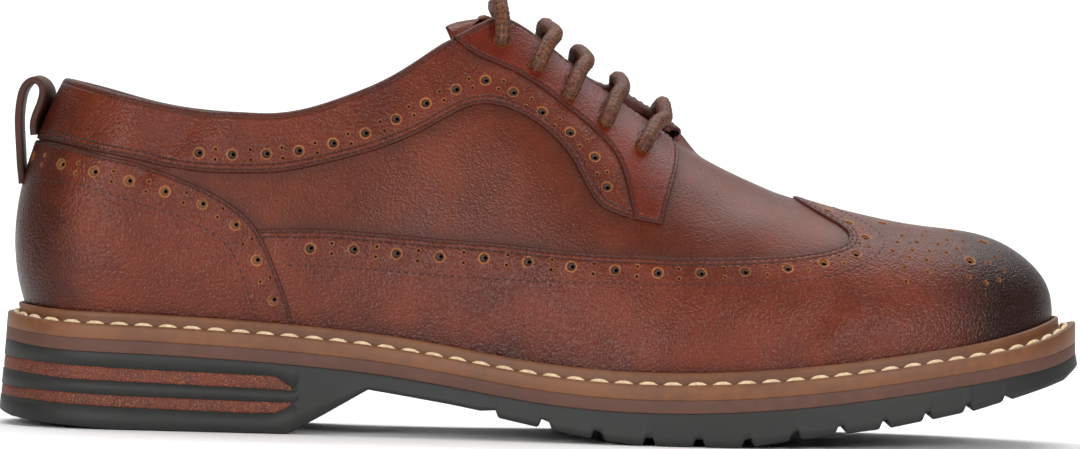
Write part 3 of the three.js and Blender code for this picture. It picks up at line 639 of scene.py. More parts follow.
def cut_panel(batch, side, segments, holes=(), rows=None, sink=None, fill=0.0, grid=2.0):
    """One half of a leather piece: its outline's segments, punched holes, and stitched rows by segment."""
    rows = rows or {}
    loop, kinds, numbers = joined(segments)
    count = len(loop)
    spots, lows, marks, edges = [], [], [], []
    boundary = inset(loop, side, np.array([STEP_IN[k] for k in kinds]))
    spots.extend(boundary)
    lows.extend([0.0] * count)
    before_kinds = np.roll(kinds, 1)
    worn = (kinds != OPEN) | (before_kinds != OPEN)
    marks.extend([[1.0 if w else 0.0, 0, 0, 1] for w in worn])
    edges.extend([(i, (i + 1) % count) for i in range(count)])
    for ring in RING_STEPS:
        line = inset(loop, side, np.array([0 if k == OPEN else STEP_IN[k] + ring for k in kinds]))
        index = {}
        for i in range(count):
            if not worn[i]:
                continue
            number = numbers[i] if kinds[i] != OPEN else numbers[i - 1]
            stitched = any(abs(ring - row) < 0.01 for row in rows.get(number, ()))
            index[i] = len(spots)
            spots.append(line[i])
            lows.append(0.17 if stitched else -0.05 * math.exp(-((ring - 1.3) / 0.5) ** 2))
            # The third mark paints shade along the sunk stitch rows.
            marks.append([math.exp(-ring / 0.45), 0, 1.0 if stitched else 0.0, 1])
        for i in index:
            j = (i + 1) % count
            if j in index and kinds[i] != OPEN:
                edges.append((index[i], index[j]))
    hole_rings = []
    for radius in sorted({radius for _, radius in holes}):
        group = np.array([spot for spot, size in holes if size == radius])
        sides = 14 if radius > 1 else 9
        for number, (more, low, mark) in enumerate(HOLE_RINGS if radius > 1 else SMALL_HOLE_RINGS):
            for spot, ring in zip(group, circles(group, side, radius + more, sides)):
                start = len(spots)
                spots.extend(ring)
                lows.extend([low] * sides)
                marks.extend([[0, mark, 0, 1]] * sides)
                edges.extend([(start + i, start + (i + 1) % sides) for i in range(sides)])
                if number == 0:
                    hole_rings.append((start, sides, spot, radius))
    tree = kdtree.KDTree(len(spots))
    for i, spot in enumerate(spots):
        tree.insert((spot[0], spot[1], 0), i)
    tree.balance()
    low_corner, high_corner = boundary.min(0), boundary.max(0)
    row_step = grid * math.sqrt(3) / 2
    interior = []
    for i, y in enumerate(np.arange(low_corner[1] + 0.5, high_corner[1], row_step)):
        x = np.arange(low_corner[0] + 0.5 + (grid / 2) * (i % 2), high_corner[0], grid)
        interior.append(np.stack([x, np.full_like(x, y)], -1))
    interior = np.concatenate(interior)
    interior = interior[inside(interior, boundary)]
    far = [tree.find((x, y, 0))[2] > 0.62 * grid for x, y in interior]
    interior = interior[np.array(far, bool)]
    if holes:
        centres = np.array([spot for spot, _ in holes])
        radii = np.array([radius for _, radius in holes])
        away = np.linalg.norm(interior[:, None] - centres[None], axis=2)
        interior = interior[(away > radii + 1.2).all(axis=1)]
    spots.extend(interior)
    lows.extend([0.0] * len(interior))
    marks.extend([PLAIN] * len(interior))

    made = delaunay_2d_cdt([Vector((x, y)) for x, y in spots], edges, [], 0, 1e-4)
    flat = np.array([[p.x, p.y] for p in made[0]])
    triangles = np.array([face for face in made[2] if len(face) == 3])
    centre = flat[triangles].mean(axis=1)
    keep = inside(centre, boundary)
    for start, sides, spot, radius in hole_rings:
        near = np.linalg.norm(centre - spot, axis=1) < 3 * radius
        polygon = np.array(spots[start:start + sides])
        keep[near] &= ~inside(centre[near], polygon)
    triangles = triangles[keep]
    source = [origin[0] if origin else -1 for origin in made[3]]
    output_of = {}
    for i, origin in enumerate(made[3]):
        for o in origin:
            output_of[o] = i
    low = np.array([lows[s] if s >= 0 else 0.0 for s in source])
    mark = np.array([marks[s] if s >= 0 else PLAIN for s in source], float)
    mark[:, 3] = height_mark(flat)
    sunk = sink(flat) if sink else np.zeros(len(flat))
    points = skin(flat, side, low + sunk)
    faces = [list(t) if side == OUTER else list(t)[::-1] for t in triangles]
    used = sorted({i for face in faces for i in face})
    compact = {old: new for new, old in enumerate(used)}
    batch.add(points[used], [[compact[i] for i in face] for face in faces], 0, mark[used])

    most = max(len(EDGE_ROWS[k]) for k in kinds)
    levels = []
    for level in range(most):
        row = [EDGE_ROWS[k][min(level, len(EDGE_ROWS[k]) - 1)] for k in kinds]
        line = inset(loop, side, np.array([r[0] for r in row]))
        depth = np.zeros(count)
        weight = np.zeros(count)
        for shift in (0, 1):
            real = (np.roll(kinds, shift) != OPEN).astype(float)
            depth += real * np.roll([r[1] for r in row], shift)
            weight += real
        depth /= np.maximum(weight, 1)
        base = sink(line) if sink else 0
        levels.append(skin(line, side, depth + base))
    skirt, skirt_marks = [], []
    for line in levels:
        skirt.extend(line)
        skirt_marks.extend([[1, 0, 0, 1]] * count)
    walls = []
    for level in range(most - 1):
        for i in range(count):
            if kinds[i] == OPEN or level + 1 >= len(EDGE_ROWS[kinds[i]]):
                continue
            j = (i + 1) % count
            face = [level * count + i, (level + 1) * count + i, (level + 1) * count + j, level * count + j]
            walls.append(face if side == OUTER else face[::-1])
    batch.add(skirt, walls, 0, skirt_marks)
    for first, sides, spot, radius in hole_rings:
        filled = fill(spot) if callable(fill) else fill
        ring = np.array(spots[first:first + sides])
        down = spot + (ring - spot) * 0.94
        # The walls darken downwards and the floor carries a dark patch off to one side: painted shade and a painted
        # shadow crescent from the wall. Where fill is 0, the whole floor is painted shade.
        shadow_patch = spot + (ring - spot) * 0.42 + [0.22 * radius, 0.10 * radius]
        depths = [(ring, 0.16, 1.0), (ring, 0.40, 0.6), (down, 0.75, 0.8 * filled), (shadow_patch, 0.78, 0.15 * filled)]
        rings = [skin(line, side, depth) for line, depth, _ in depths]
        shades = [[[0, mark, 0, 1]] * sides for _, _, mark in depths]
        batch.grid(rings, closed=True, flip=side == OUTER, paint=1, marks=shades)
        last = len(batch.points) - sides
        floor_face = [last + i for i in range(sides)]
        batch.faces.append(floor_face if side == OUTER else floor_face[::-1])
        batch.paints.append(1)


# Outlines of the leather pieces: shares along the last and up its side
COUNTER_EDGE = [
    (0.000, 0.770), (0.028, 0.747), (0.063, 0.697), (0.105, 0.640), (0.140, 0.578), (0.174, 0.509),
    (0.198, 0.450), (0.223, 0.370), (0.239, 0.291), (0.256, 0.181), (0.271, 0.060), (0.276, 0.000),
]
BAND_EDGE = [
    (0.000, 0.776), (0.030, 0.752), (0.066, 0.703), (0.103, 0.657), (0.147, 0.603), (0.205, 0.556),
    (0.242, 0.535), (0.279, 0.530), (0.314, 0.537), (0.350, 0.556), (0.374, 0.577), (0.397, 0.607),
    (0.418, 0.629), (0.445, 0.631), (0.476, 0.616), (0.500, 0.591), (0.519, 0.546), (0.532, 0.492),
    (0.546, 0.455), (0.560, 0.448), (0.578, 0.450),
]
TAB_SEAM = [
    (0.390, 0.866), (0.415, 0.795), (0.442, 0.760), (0.483, 0.733), (0.512, 0.711), (0.541, 0.679),
    (0.558, 0.632), (0.569, 0.550), (0.578, 0.450),
]
TAB_FRONT = [(0.607, 0.957), (0.6145, 0.900), (0.619, 0.801), (0.614, 0.632), (0.605, 0.467)]
TAB_FOOT = [(0.605, 0.467), (0.592, 0.456), (0.578, 0.450)]
WING_EDGE = [
    (0.228, 0.347), (0.282, 0.324), (0.344, 0.295), (0.408, 0.275), (0.493, 0.294), (0.546, 0.325),
    (0.619, 0.376), (0.674, 0.425), (0.711, 0.466), (0.748, 0.514), (0.773, 0.565), (0.787, 0.631),
    (0.787, 0.695), (0.777, 0.752), (0.761, 0.805), (0.748, 0.860), (0.739, 0.930), (0.736, 1.000),
]
BAND_HOLES = [
    (0.153, 0.660), (0.187, 0.631), (0.221, 0.609), (0.253, 0.592), (0.286, 0.588), (0.316, 0.600),
    (0.344, 0.625), (0.371, 0.655), (0.399, 0.682), (0.427, 0.704), (0.455, 0.679), (0.484, 0.652),
    (0.512, 0.632), (0.537, 0.592), (0.550, 0.515),
]
COUNTER_HOLES = [
    (0.004, 0.704), (0.029, 0.675), (0.058, 0.637), (0.092, 0.588), (0.130, 0.530), (0.170, 0.465),
    (0.207, 0.371), (0.234, 0.238), (0.254, 0.104),
]
WING_HOLES = [
    (0.282, 0.262), (0.322, 0.252), (0.361, 0.237), (0.400, 0.231), (0.440, 0.238), (0.480, 0.251),
    (0.520, 0.270), (0.561, 0.291), (0.602, 0.314), (0.643, 0.343), (0.685, 0.381), (0.726, 0.426),
    (0.761, 0.472), (0.793, 0.545), (0.804, 0.668), (0.789, 0.770), (0.769, 0.855), (0.758, 0.940),
]
COUNTER_STITCH = [
    (0.004, 0.634), (0.026, 0.608), (0.053, 0.584), (0.084, 0.532), (0.117, 0.480), (0.151, 0.424),
    (0.184, 0.356), (0.208, 0.280), (0.223, 0.186), (0.240, 0.040),
]
WING_STITCH = [
    (0.262, 0.215), (0.302, 0.205), (0.361, 0.190), (0.440, 0.192), (0.547, 0.248), (0.620, 0.294),
    (0.675, 0.330), (0.720, 0.364), (0.757, 0.400), (0.785, 0.448), (0.809, 0.528), (0.822, 0.642),
    (0.819, 0.723), (0.808, 0.797), (0.792, 0.869), (0.781, 0.930), (0.776, 1.000),
]
MEDALLION_LARGE = [(0.907, 0.553), (0.824, 0.860), (0.894, 0.905), (0.925, 0.782)]
MEDALLION_SMALL = [
    (0.850, 0.817), (0.868, 0.837), (0.842, 0.734), (0.863, 0.771), (0.836, 0.665), (0.856, 0.687),
    (0.887, 0.736), (0.904, 0.748), (0.877, 0.681), (0.896, 0.651), (0.830, 0.589), (0.850, 0.612),
    (0.867, 0.614), (0.884, 0.608), (0.846, 0.557), (0.863, 0.544), (0.841, 0.489), (0.863, 0.463),
    (0.841, 0.406), (0.890, 0.506), (0.904, 0.431), (0.921, 0.394), (0.935, 0.424), (0.941, 0.504),
    (0.926, 0.548), (0.935, 0.622), (0.941, 0.714),
]
BIG_HOLE = 1.25
SMALL_HOLE = 0.48
MEDALLION_HOLE = 0.6
PAIR_REACH = 1.45


def edge_line(start, end, step=1.2):
    """The collar's and the facing's edge on the pattern, between two shares along the last."""
    first, last = to_pattern([(start, 0), (end, 0)])[:, 0]
    run = np.linspace(first, last, max(2, int(abs(last - first) / step)))
    share = np.interp(run, PATTERN_RUN, SHARES)
    return np.stack([run, edge_share(-share) * GIRTH], -1)


def edge_on(side, start, end, step=1.2):
    line = edge_line(start, end, step)
    share = np.interp(line[:, 0], PATTERN_RUN, SHARES)
    share = np.where(share < 1e-6, 1e-4, share)
    return np.stack([line[:, 0], edge_share(side * share) * GIRTH], -1)


def punched(table, side):
    """Large holes at a line's points, with a pair of small ones across the line between each two."""
    spots = to_pattern(table)
    holes = [(spot, BIG_HOLE) for spot in spots]
    middle = flow(spots, 0.4)
    run = np.concatenate([[0], np.cumsum(np.linalg.norm(np.diff(middle, axis=0), axis=1))])
    at = [run[np.argmin(np.linalg.norm(middle - spot, axis=1))] for spot in spots]
    for first, last in zip(at[:-1], at[1:]):
        k = int(np.searchsorted(run, (first + last) / 2))
        spot = middle[k:k + 1]
        local = metric(spot, side)[0]
        along = local @ (middle[k + 1] - middle[k - 1])
        across = np.array([-along[1], along[0]]) / np.linalg.norm(along) * PAIR_REACH
        for way in (-1, 1):
            holes.append((spot[0] + off_pattern(spot, side, way * across[None])[0], SMALL_HOLE))
    return holes


def seam(b0, b1, step=1.2):
    """A stretch of the back seam."""
    return flow([(0, b0 * GIRTH), (0, b1 * GIRTH)], step)


def counter_segments(side):
    edge = flow(to_pattern(COUNTER_EDGE))
    foot = flow([edge[-1], (0, 0)], 3)
    return [(seam(0, COUNTER_EDGE[0][1]), OPEN), (edge, CUT), (foot, OPEN)]


def band_segments(side):
    collar = edge_on(side, 0, TAB_SEAM[0][0])
    seam_line = flow(np.concatenate([[collar[-1]], to_pattern(TAB_SEAM[1:])]))
    lower = flow(to_pattern(BAND_EDGE))[::-1]
    back = flow([lower[-1], collar[0]])
    return [(collar, FOLD), (seam_line, OPEN), (lower, CUT), (back, OPEN)]


def tab_segments(side):
    top = edge_on(side, TAB_SEAM[0][0], TAB_FRONT[0][0])
    front = flow(np.concatenate([[top[-1]], to_pattern(TAB_FRONT[1:])]))
    foot = flow(to_pattern(TAB_FOOT))
    back = flow(np.concatenate([[top[0]], to_pattern(TAB_SEAM[1:])]))[::-1]
    return [(top, FOLD), (front, CUT), (foot, CUT), (back, CUT)]


def wing_segments(side):
    edge = flow(to_pattern(WING_EDGE))
    far = PATTERN_RUN[-1]
    ridge = flow([edge[-1], (far, GIRTH)])
    nose = flow([(far, GIRTH), (far, 0)], 4)
    back = to_pattern([(along - 0.006, up) for along, up in COUNTER_EDGE if up < 0.34])[::-1]
    foot = flow([(far, 0), back[0]], 3)
    rise_line = flow(np.concatenate([back, [edge[0]]]))
    return [(edge, CUT), (ridge, OPEN), (nose, OPEN), (foot, OPEN), (rise_line, OPEN)]


def sunk_by(table, reach, depth):
    """A leather piece dips where it runs under a neighbour's edge."""
    line = flow(to_pattern(table), 0.6)
    return lambda spots: depth * smooth(1 - distance(spots, line) / reach)


# Materials
class Nodes:
    """A short way to write a material's nodes. Positions are in the shoe's frame, in millimetres."""

    def __init__(self, name):
        self.material = bpy.data.materials.new(name)
        self.material.use_nodes = True
        self.tree = self.material.node_tree
        self.shader = self.tree.nodes["Principled BSDF"]
        place_node = self.tree.nodes.new("ShaderNodeTexCoord")
        scale = self.tree.nodes.new("ShaderNodeVectorMath")
        scale.operation = "SCALE"
        scale.inputs["Scale"].default_value = 1000
        self.tree.links.new(place_node.outputs["Object"], scale.inputs[0])
        self.place = scale.outputs[0]
        split = self.tree.nodes.new("ShaderNodeSeparateXYZ")
        self.tree.links.new(self.place, split.inputs[0])
        self.x, self.y, self.z = split.outputs
        self._marks = None

    def set(self, socket, value):
        if hasattr(value, "is_linked") or hasattr(value, "links"):
            self.tree.links.new(value, socket)
        else:
            socket.default_value = value

    def marks(self):
        if self._marks is None:
            read = self.tree.nodes.new("ShaderNodeVertexColor")
            read.layer_name = "marks"
            split = self.tree.nodes.new("ShaderNodeSeparateColor")
            self.tree.links.new(read.outputs["Color"], split.inputs[0])
            self._marks = split.outputs
            self._height = read.outputs["Alpha"]
        return self._marks

    def height_mark(self):
        self.marks()
        return self._height

    def math(self, operation, first, second=0.5, clamp=False):
        made = self.tree.nodes.new("ShaderNodeMath")
        made.operation = operation
        made.use_clamp = clamp
        self.set(made.inputs[0], first)
        self.set(made.inputs[1], second)
        return made.outputs[0]

    def ramp(self, value, low, high, to_low=0.0, to_high=1.0):
        made = self.tree.nodes.new("ShaderNodeMapRange")
        made.interpolation_type = "SMOOTHSTEP"
        self.set(made.inputs["Value"], value)
        made.inputs["From Min"].default_value = low
        made.inputs["From Max"].default_value = high
        made.inputs["To Min"].default_value = to_low
        made.inputs["To Max"].default_value = to_high
        return made.outputs["Result"]

    def stretched(self, sizes):
        made = self.tree.nodes.new("ShaderNodeVectorMath")
        made.operation = "MULTIPLY"
        self.tree.links.new(self.place, made.inputs[0])
        made.inputs[1].default_value = sizes
        return made.outputs[0]

    def noise(self, scale, detail=3.0, place=None, rough=0.5, distortion=0.0):
        made = self.tree.nodes.new("ShaderNodeTexNoise")
        self.tree.links.new(place or self.place, made.inputs["Vector"])
        made.inputs["Scale"].default_value = scale
        made.inputs["Detail"].default_value = detail
        made.inputs["Roughness"].default_value = rough
        made.inputs["Distortion"].default_value = distortion
        return made.outputs["Fac"]

    def cells(self, scale, feature="F1", place=None):
        made = self.tree.nodes.new("ShaderNodeTexVoronoi")
        made.feature = feature
        self.tree.links.new(place or self.place, made.inputs["Vector"])
        made.inputs["Scale"].default_value = scale
        return made.outputs["Distance"]

    def mix(self, share, first, second):
        made = self.tree.nodes.new("ShaderNodeMix")
        made.data_type = "RGBA"
        self.set(made.inputs[0], share)
        self.set(made.inputs[6], first)
        self.set(made.inputs[7], second)
        return made.outputs[2]

    def bump(self, height, distance, strength=1.0, normal=None):
        made = self.tree.nodes.new("ShaderNodeBump")
        made.inputs["Strength"].default_value = strength
        made.inputs["Distance"].default_value = distance * MM
        self.tree.links.new(height, made.inputs["Height"])
        if normal:
            self.tree.links.new(normal, made.inputs["Normal"])
        return made.outputs["Normal"]

    def finish(self, colour, roughness, normal=None, **plain):
        self.set(self.shader.inputs["Base Color"], colour)
        self.set(self.shader.inputs["Roughness"], roughness)
        if normal:
            self.tree.links.new(normal, self.shader.inputs["Normal"])
        for name, value in plain.items():
            self.shader.inputs[name.replace("_", " ")].default_value = value
        return self.material


def colour(red, green, blue):
    """A colour from 0 to 255 levels, as the shader wants it."""
    level = lambda part: ((part / 255 + 0.055) / 1.055) ** 2.4 if part > 10 else part / 255 / 12.92
    return (level(red), level(green), level(blue), 1.0)


def leather_material(name, light, dark, deep, grain, rough, shade_and_burnish=1.0, relief_size=0.2):
    """Polished leather: mottled brown, darkened at the toe and the heel by burnish and painted shade and along the
    sole by painted shade, fine pebble grain.
    """
    n = Nodes(name)
    broad = n.noise(0.024, 2)
    middle = n.noise(0.10, 3, rough=0.55)
    fine = n.noise(1.5, 3, rough=0.6)
    mottle = n.math("ADD", n.math("MULTIPLY", broad, 0.35), n.math("MULTIPLY", middle, 0.30))
    mottle = n.math("ADD", mottle, n.math("MULTIPLY", fine, 0.35))
    tone = n.mix(n.ramp(mottle, 0.34, 0.68), dark, light)
    edge, rim, stitched = n.marks()[0], n.marks()[1], n.marks()[2]
    # Darker at the toe's front and the heel's back: part burnish, part painted shade where the leather turns away
    # from the lamps. Darker towards the sole: painted shade above the welt's lip.
    toe = n.ramp(n.math("ADD", n.x, n.math("MULTIPLY", middle, 14)), 112, 136)
    heel = n.ramp(n.math("ADD", n.x, n.math("MULTIPLY", middle, 14)), -116, -138, 0, 0.75)
    foot = n.ramp(n.math("ADD", n.height_mark(), n.math("MULTIPLY", middle, 0.2)), 0.46, 0.10, 0, 0.6)
    painted_shade_and_burnish = n.math("MAXIMUM", n.math("MAXIMUM", toe, heel), foot)
    tone = n.mix(n.math("MULTIPLY", painted_shade_and_burnish, shade_and_burnish * 0.92), tone, deep)
    # The first mark: dark cut edges on the panels; on the base leather, painted shadow and burnish along the
    # overlays' edges.
    tone = n.mix(n.math("MULTIPLY", edge, 0.5), tone, deep)
    # Painted shade along the sunk stitch rows.
    tone = n.mix(n.math("MULTIPLY", stitched, 0.55), tone, deep)
    stain = n.math("MULTIPLY", n.ramp(rim, 0.25, 0.75), n.ramp(middle, 0.36, 0.60, 0.45, 0.95))
    tone = n.mix(stain, tone, colour(150, 92, 44))
    pebble = n.cells(grain, "SMOOTH_F1")
    wide = n.cells(grain * 0.45, "DISTANCE_TO_EDGE")
    height = n.math("ADD", n.math("MULTIPLY", pebble, -0.7), n.math("MULTIPLY", n.ramp(wide, 0.0, 0.15), 0.12))
    height = n.math("ADD", height, n.math("MULTIPLY", n.noise(grain * 1.6, 2), 0.3))
    pull = n.noise(0.9, 2, n.stretched((1.0, 1.0, 0.16)))
    drawn = n.noise(0.13, 3, n.stretched((1.0, 1.0, 0.35)), distortion=0.6)
    normal = n.bump(drawn, 0.25, 0.25)
    normal = n.bump(pull, 0.10, 0.5, normal)
    normal = n.bump(height, relief_size, 1.0, normal)
    gloss = n.math("ADD", n.math("MULTIPLY", middle, 0.18), rough - 0.09)
    gloss = n.math("ADD", gloss, n.math("MULTIPLY", edge, 0.12))
    return n.finish(tone, gloss, normal, Specular_IOR_Level=0.28)


def plain_material(name, light, dark, scale, roughness, depth, flecks=None, **plain):
    """A matt material with mottled colour, a fine rough surface and, if asked, flecks of another colour."""
    n = Nodes(name)
    blend = n.math("ADD", n.math("MULTIPLY", n.noise(scale, 4), 0.6), n.math("MULTIPLY", n.noise(scale * 6, 2), 0.4))
    tone = n.mix(n.ramp(blend, 0.38, 0.64), dark, light)
    if flecks:
        tone = n.mix(n.ramp(n.noise(2.6, 2), 0.54, 0.62, 0, 0.8), tone, flecks)
    # The first mark darkens it: painted shade in the welt's stitch channel and at its lip's foot.
    tone = n.mix(n.math("MULTIPLY", n.marks()[0], 0.6), tone, dark)
    normal = n.bump(n.noise(2.4, 4, rough=0.7), depth, 0.6)
    rough = n.math("ADD", n.math("MULTIPLY", blend, 0.2), roughness - 0.1)
    return n.finish(tone, rough, normal, **plain)


BROWN = colour(108, 42, 17)
BROWN_DARK = colour(76, 26, 10)
SHADE_AND_EDGE_BROWN = colour(20, 5, 3)
leather = leather_material("leather", BROWN, BROWN_DARK, SHADE_AND_EDGE_BROWN, 1.5, 0.37, relief_size=0.30)
smooth_leather = leather_material(
    "smooth_leather", colour(104, 42, 18), colour(76, 28, 12), colour(28, 9, 5), 1.6, 0.39, relief_size=0.16)
facing_leather = leather_material(
    "facing_leather", colour(106, 33, 11), colour(82, 23, 8), SHADE_AND_EDGE_BROWN, 1.6, 0.36, 0.2, 0.16)
strap_leather = leather_material(
    "strap_leather", colour(92, 50, 38), colour(62, 34, 27), colour(34, 16, 12), 1.6, 0.5, 0.0, 0.12)
lining_leather = plain_material("lining", colour(150, 106, 70), colour(120, 80, 52), 0.06, 0.62, 0.06)
sock_leather = plain_material("sock", colour(150, 106, 68), colour(122, 82, 50), 0.05, 0.6, 0.06)
thread_dark = plain_material("thread_dark", colour(56, 25, 17), colour(28, 12, 9), 1.2, 0.6, 0.08)
thread_cream = plain_material("thread_cream", colour(236, 212, 176), colour(206, 176, 134), 0.9, 0.7, 0.08)
welt_leather = plain_material("welt_leather", colour(116, 70, 36), colour(100, 58, 30), 0.05, 0.55, 0.06)
midsole_foam = plain_material("midsole", colour(90, 56, 44), colour(80, 49, 38), 0.05, 0.7, 0.06)
rubber = plain_material("rubber", colour(26, 26, 24), colour(19, 19, 18), 0.06, 0.6, 0.05)
inlay_rubber = plain_material(
    "inlay", colour(98, 38, 22), colour(70, 25, 17), 0.05, 0.68, 0.10, flecks=colour(140, 84, 40))


def stain_and_shade_material():
    """Inside of the punched holes: dark painted shade, or leather stained ochre where the mark says so."""
    n = Nodes("hole_stain_and_shade")
    blotch = n.ramp(n.noise(0.8, 3), 0.30, 0.70, 0.75, 1.0)
    tone = n.mix(n.math("MULTIPLY", n.marks()[1], blotch), colour(58, 30, 18), colour(150, 92, 44))
    return n.finish(tone, 0.6, n.bump(n.noise(2.4, 3), 0.08, 0.5))


hole_stain_and_shade = stain_and_shade_material()


def lace_material():
    """Waxed round cord: a tight weave of brown yarns, some lighter."""
    n = Nodes("lace")
    yarn = n.cells(1.5, "F1", n.stretched((1.0, 1.0, 0.7)))
    blend = n.math("ADD", n.math("MULTIPLY", n.noise(1.8, 3), 0.75), n.math("MULTIPLY", n.noise(0.25, 2), 0.25))
    tone = n.mix(n.ramp(blend, 0.40, 0.66), colour(66, 33, 20), colour(122, 72, 44))
    # Painted shade in the hollows of the weave.
    tone = n.mix(n.math("MULTIPLY", n.marks()[0], 0.8), tone, colour(34, 17, 12))
    return n.finish(tone, 0.6, n.bump(yarn, 0.18, 0.5), Specular_IOR_Level=0.35)


lace_cord = lace_material()


# The upper's base leather and its lining
def column_shares(step):
    runs = np.linspace(0, PATTERN_RUN[-1], int(PATTERN_RUN[-1] / step) + 1)
    return np.interp(runs, PATTERN_RUN, SHARES)


def shell_spots(side, below_edge, rows, step=1.6):
    """A grid on the pattern over one half of the upper, from the sole to a little below its edge."""
    shares = column_shares(step)
    top = edge_share(side * np.maximum(shares, 1e-4))
    top = np.where(top < 0.9999, top - below_edge / GIRTH, top)
    run = np.repeat(np.interp(shares, SHARES, PATTERN_RUN)[:, None], rows + 1, axis=1)
    return np.stack([run, np.linspace(0, 1, rows + 1) * top[:, None] * GIRTH], -1)


def make_base():
    """The leather under the overlays, darkened along their edges by a painted shadow of the overlays, with burnish.
    """
    batch = Batch()
    line = np.concatenate([flow(to_pattern(table), 0.8) for table in (COUNTER_EDGE, BAND_EDGE, WING_EDGE, TAB_FRONT)])
    for side in (OUTER, INNER):
        spots = shell_spots(side, 2.6, 54)
        flat = spots.reshape(-1, 2)
        # Painted shadow, with burnish, in a band a few millimetres wide along the overlays' edges.
        painted_shade_and_burnish = 0.75 * np.exp(-(distance(flat, line) / 2.2) ** 1.5)
        marks = np.stack([painted_shade_and_burnish, 0 * painted_shade_and_burnish, 0 * painted_shade_and_burnish, height_mark(flat)], -1)
        batch.grid(skin(flat, side, LEATHER_DEPTH).reshape(*spots.shape[:2], 3), flip=side == INNER, marks=marks)
    build("base_leather", batch, [smooth_leather], ["upper"], weld=0.02)


def make_lining():
    batch = Batch()
    for side in (OUTER, INNER):
        spots = shell_spots(side, 1.6, 30, 3.0)
        points = skin(spots.reshape(-1, 2), side, LINING_DEPTH + 0.05)
        batch.grid(points.reshape(*spots.shape[:2], 3), flip=side == OUTER)
    build("lining", batch, [lining_leather], weld=0.02)


def filled_at_toe(spot):
    """Punched holes show stained leather towards the toe; behind it their floors are painted dark shade."""
    return float(smooth((np.interp(spot[0], PATTERN_RUN, spread(SHARES)) - 0.70) / 0.06))


def make_panels():
    under_tab = sunk_by(TAB_SEAM, 3.0, 0.5)
    under_counter = sunk_by(COUNTER_EDGE, 2.5, 0.55)
    # The last column is how far hole floors are stained ochre instead of painted dark shade.
    parts = [
        ("heel_counter", counter_segments, {1: [FIRST_ROW]}, COUNTER_HOLES, None, 1.0),
        ("collar_band", band_segments, {0: [FIRST_ROW], 2: DOUBLE_ROW}, BAND_HOLES, under_tab, 0.0),
        ("wing_cap", wing_segments, {0: DOUBLE_ROW}, WING_HOLES, under_counter, filled_at_toe),
    ]
    for name, segments, rows, holes, sink, fill in parts:
        batch = Batch()
        for side in (OUTER, INNER):
            punches = punched(holes, side)
            if name == "wing_cap":
                punches += [(spot, BIG_HOLE) for spot in to_pattern(MEDALLION_LARGE)]
                punches += [(spot, MEDALLION_HOLE) for spot in to_pattern(MEDALLION_SMALL)]
            cut_panel(batch, side, segments(side), punches, rows, sink, fill)
        build(name + "_leather", batch, [leather, hole_stain_and_shade], [name], weld=0.02)
    for name, side in (("eyelet_tab_outer", OUTER), ("eyelet_tab_inner", INNER)):
        batch = Batch()
        eyelets = [(eyelet_spot(eyelet, side), EYELET_RADIUS) for eyelet in EYELETS]
        cut_panel(batch, side, tab_segments(side), eyelets, {number: [FIRST_ROW] for number in range(4)})
        build(name + "_leather", batch, [facing_leather, hole_stain_and_shade], [name], weld=0.02)


# Laces: each bar lies on both tabs and humps over the facing's edges between its two eyelets.
# Rows give the eyelet's share of the length, its share of the section's height and how far the lace leans
# on the outer and the inner side.
EYELETS = [
    (0.459, 0.855, -0.006, -0.009),
    (0.492, 0.805, 0.009, -0.001),
    (0.522, 0.765, 0.009, -0.001),
    (0.556, 0.742, 0.009, 0.001),
    (0.590, 0.716, 0.015, 0.007),
]
LACE_RADIUS = 2.15
EYELET_LIFT = 0.65
EYELET_RADIUS = 2.0
CLIMB = [0, 0.35, 0.7, 0.95]


def station_at(share):
    return float(share_at((share * LENGTH - TOP_BACK) / (TIP - TOP_BACK)))


def eyelet_spot(eyelet, side):
    along, up = eyelet[:2]
    return np.array([np.interp(station_at(along), SHARES, PATTERN_RUN), up * GIRTH])


def tube(batch, route, radius, sides=18, step=0.5, weave=0.0, marks=None):
    """A round cord along a smooth line through the route's points, with a woven surface if asked."""
    route = np.asarray(route, float)
    run = np.concatenate([[0], np.cumsum(np.linalg.norm(np.diff(route, axis=0), axis=1))])
    through = curves(np.column_stack([run, route]))
    count = max(4, int(run[-1] / step))
    at = np.linspace(0, run[-1], count)
    line = np.stack([axis(at) for axis in through], -1)
    tangent = np.gradient(line, axis=0)
    tangent /= np.linalg.norm(tangent, axis=1, keepdims=True)
    first = np.cross(tangent[0], [0.3, 0.9, 0.1])
    rings, shades = [], []
    for i, point in enumerate(line):
        first = first - (first @ tangent[i]) * tangent[i]
        first /= np.linalg.norm(first)
        second = np.cross(tangent[i], first)
        turns = np.linspace(0, 2 * np.pi, sides, endpoint=False)
        pattern = np.sin(4 * turns + 2.1 * at[i]) * np.sin(4 * turns - 2.1 * at[i])
        reach = radius * (1 + weave * pattern)
        rings.append(point + reach[:, None] * (np.cos(turns)[:, None] * first + np.sin(turns)[:, None] * second))
        # Marks the weave's hollows for painted shade.
        shades.append(np.stack([np.clip(-pattern, 0, 1), 0 * turns, 0 * turns, 1 + 0 * turns], -1))
    batch.grid(rings, closed=True, marks=shades)
    start = len(batch.points) - count * sides
    batch.faces.append([start + i for i in range(sides)][::-1])
    batch.faces.append([start + (count - 1) * sides + i for i in range(sides)])
    batch.paints.extend([0, 0])


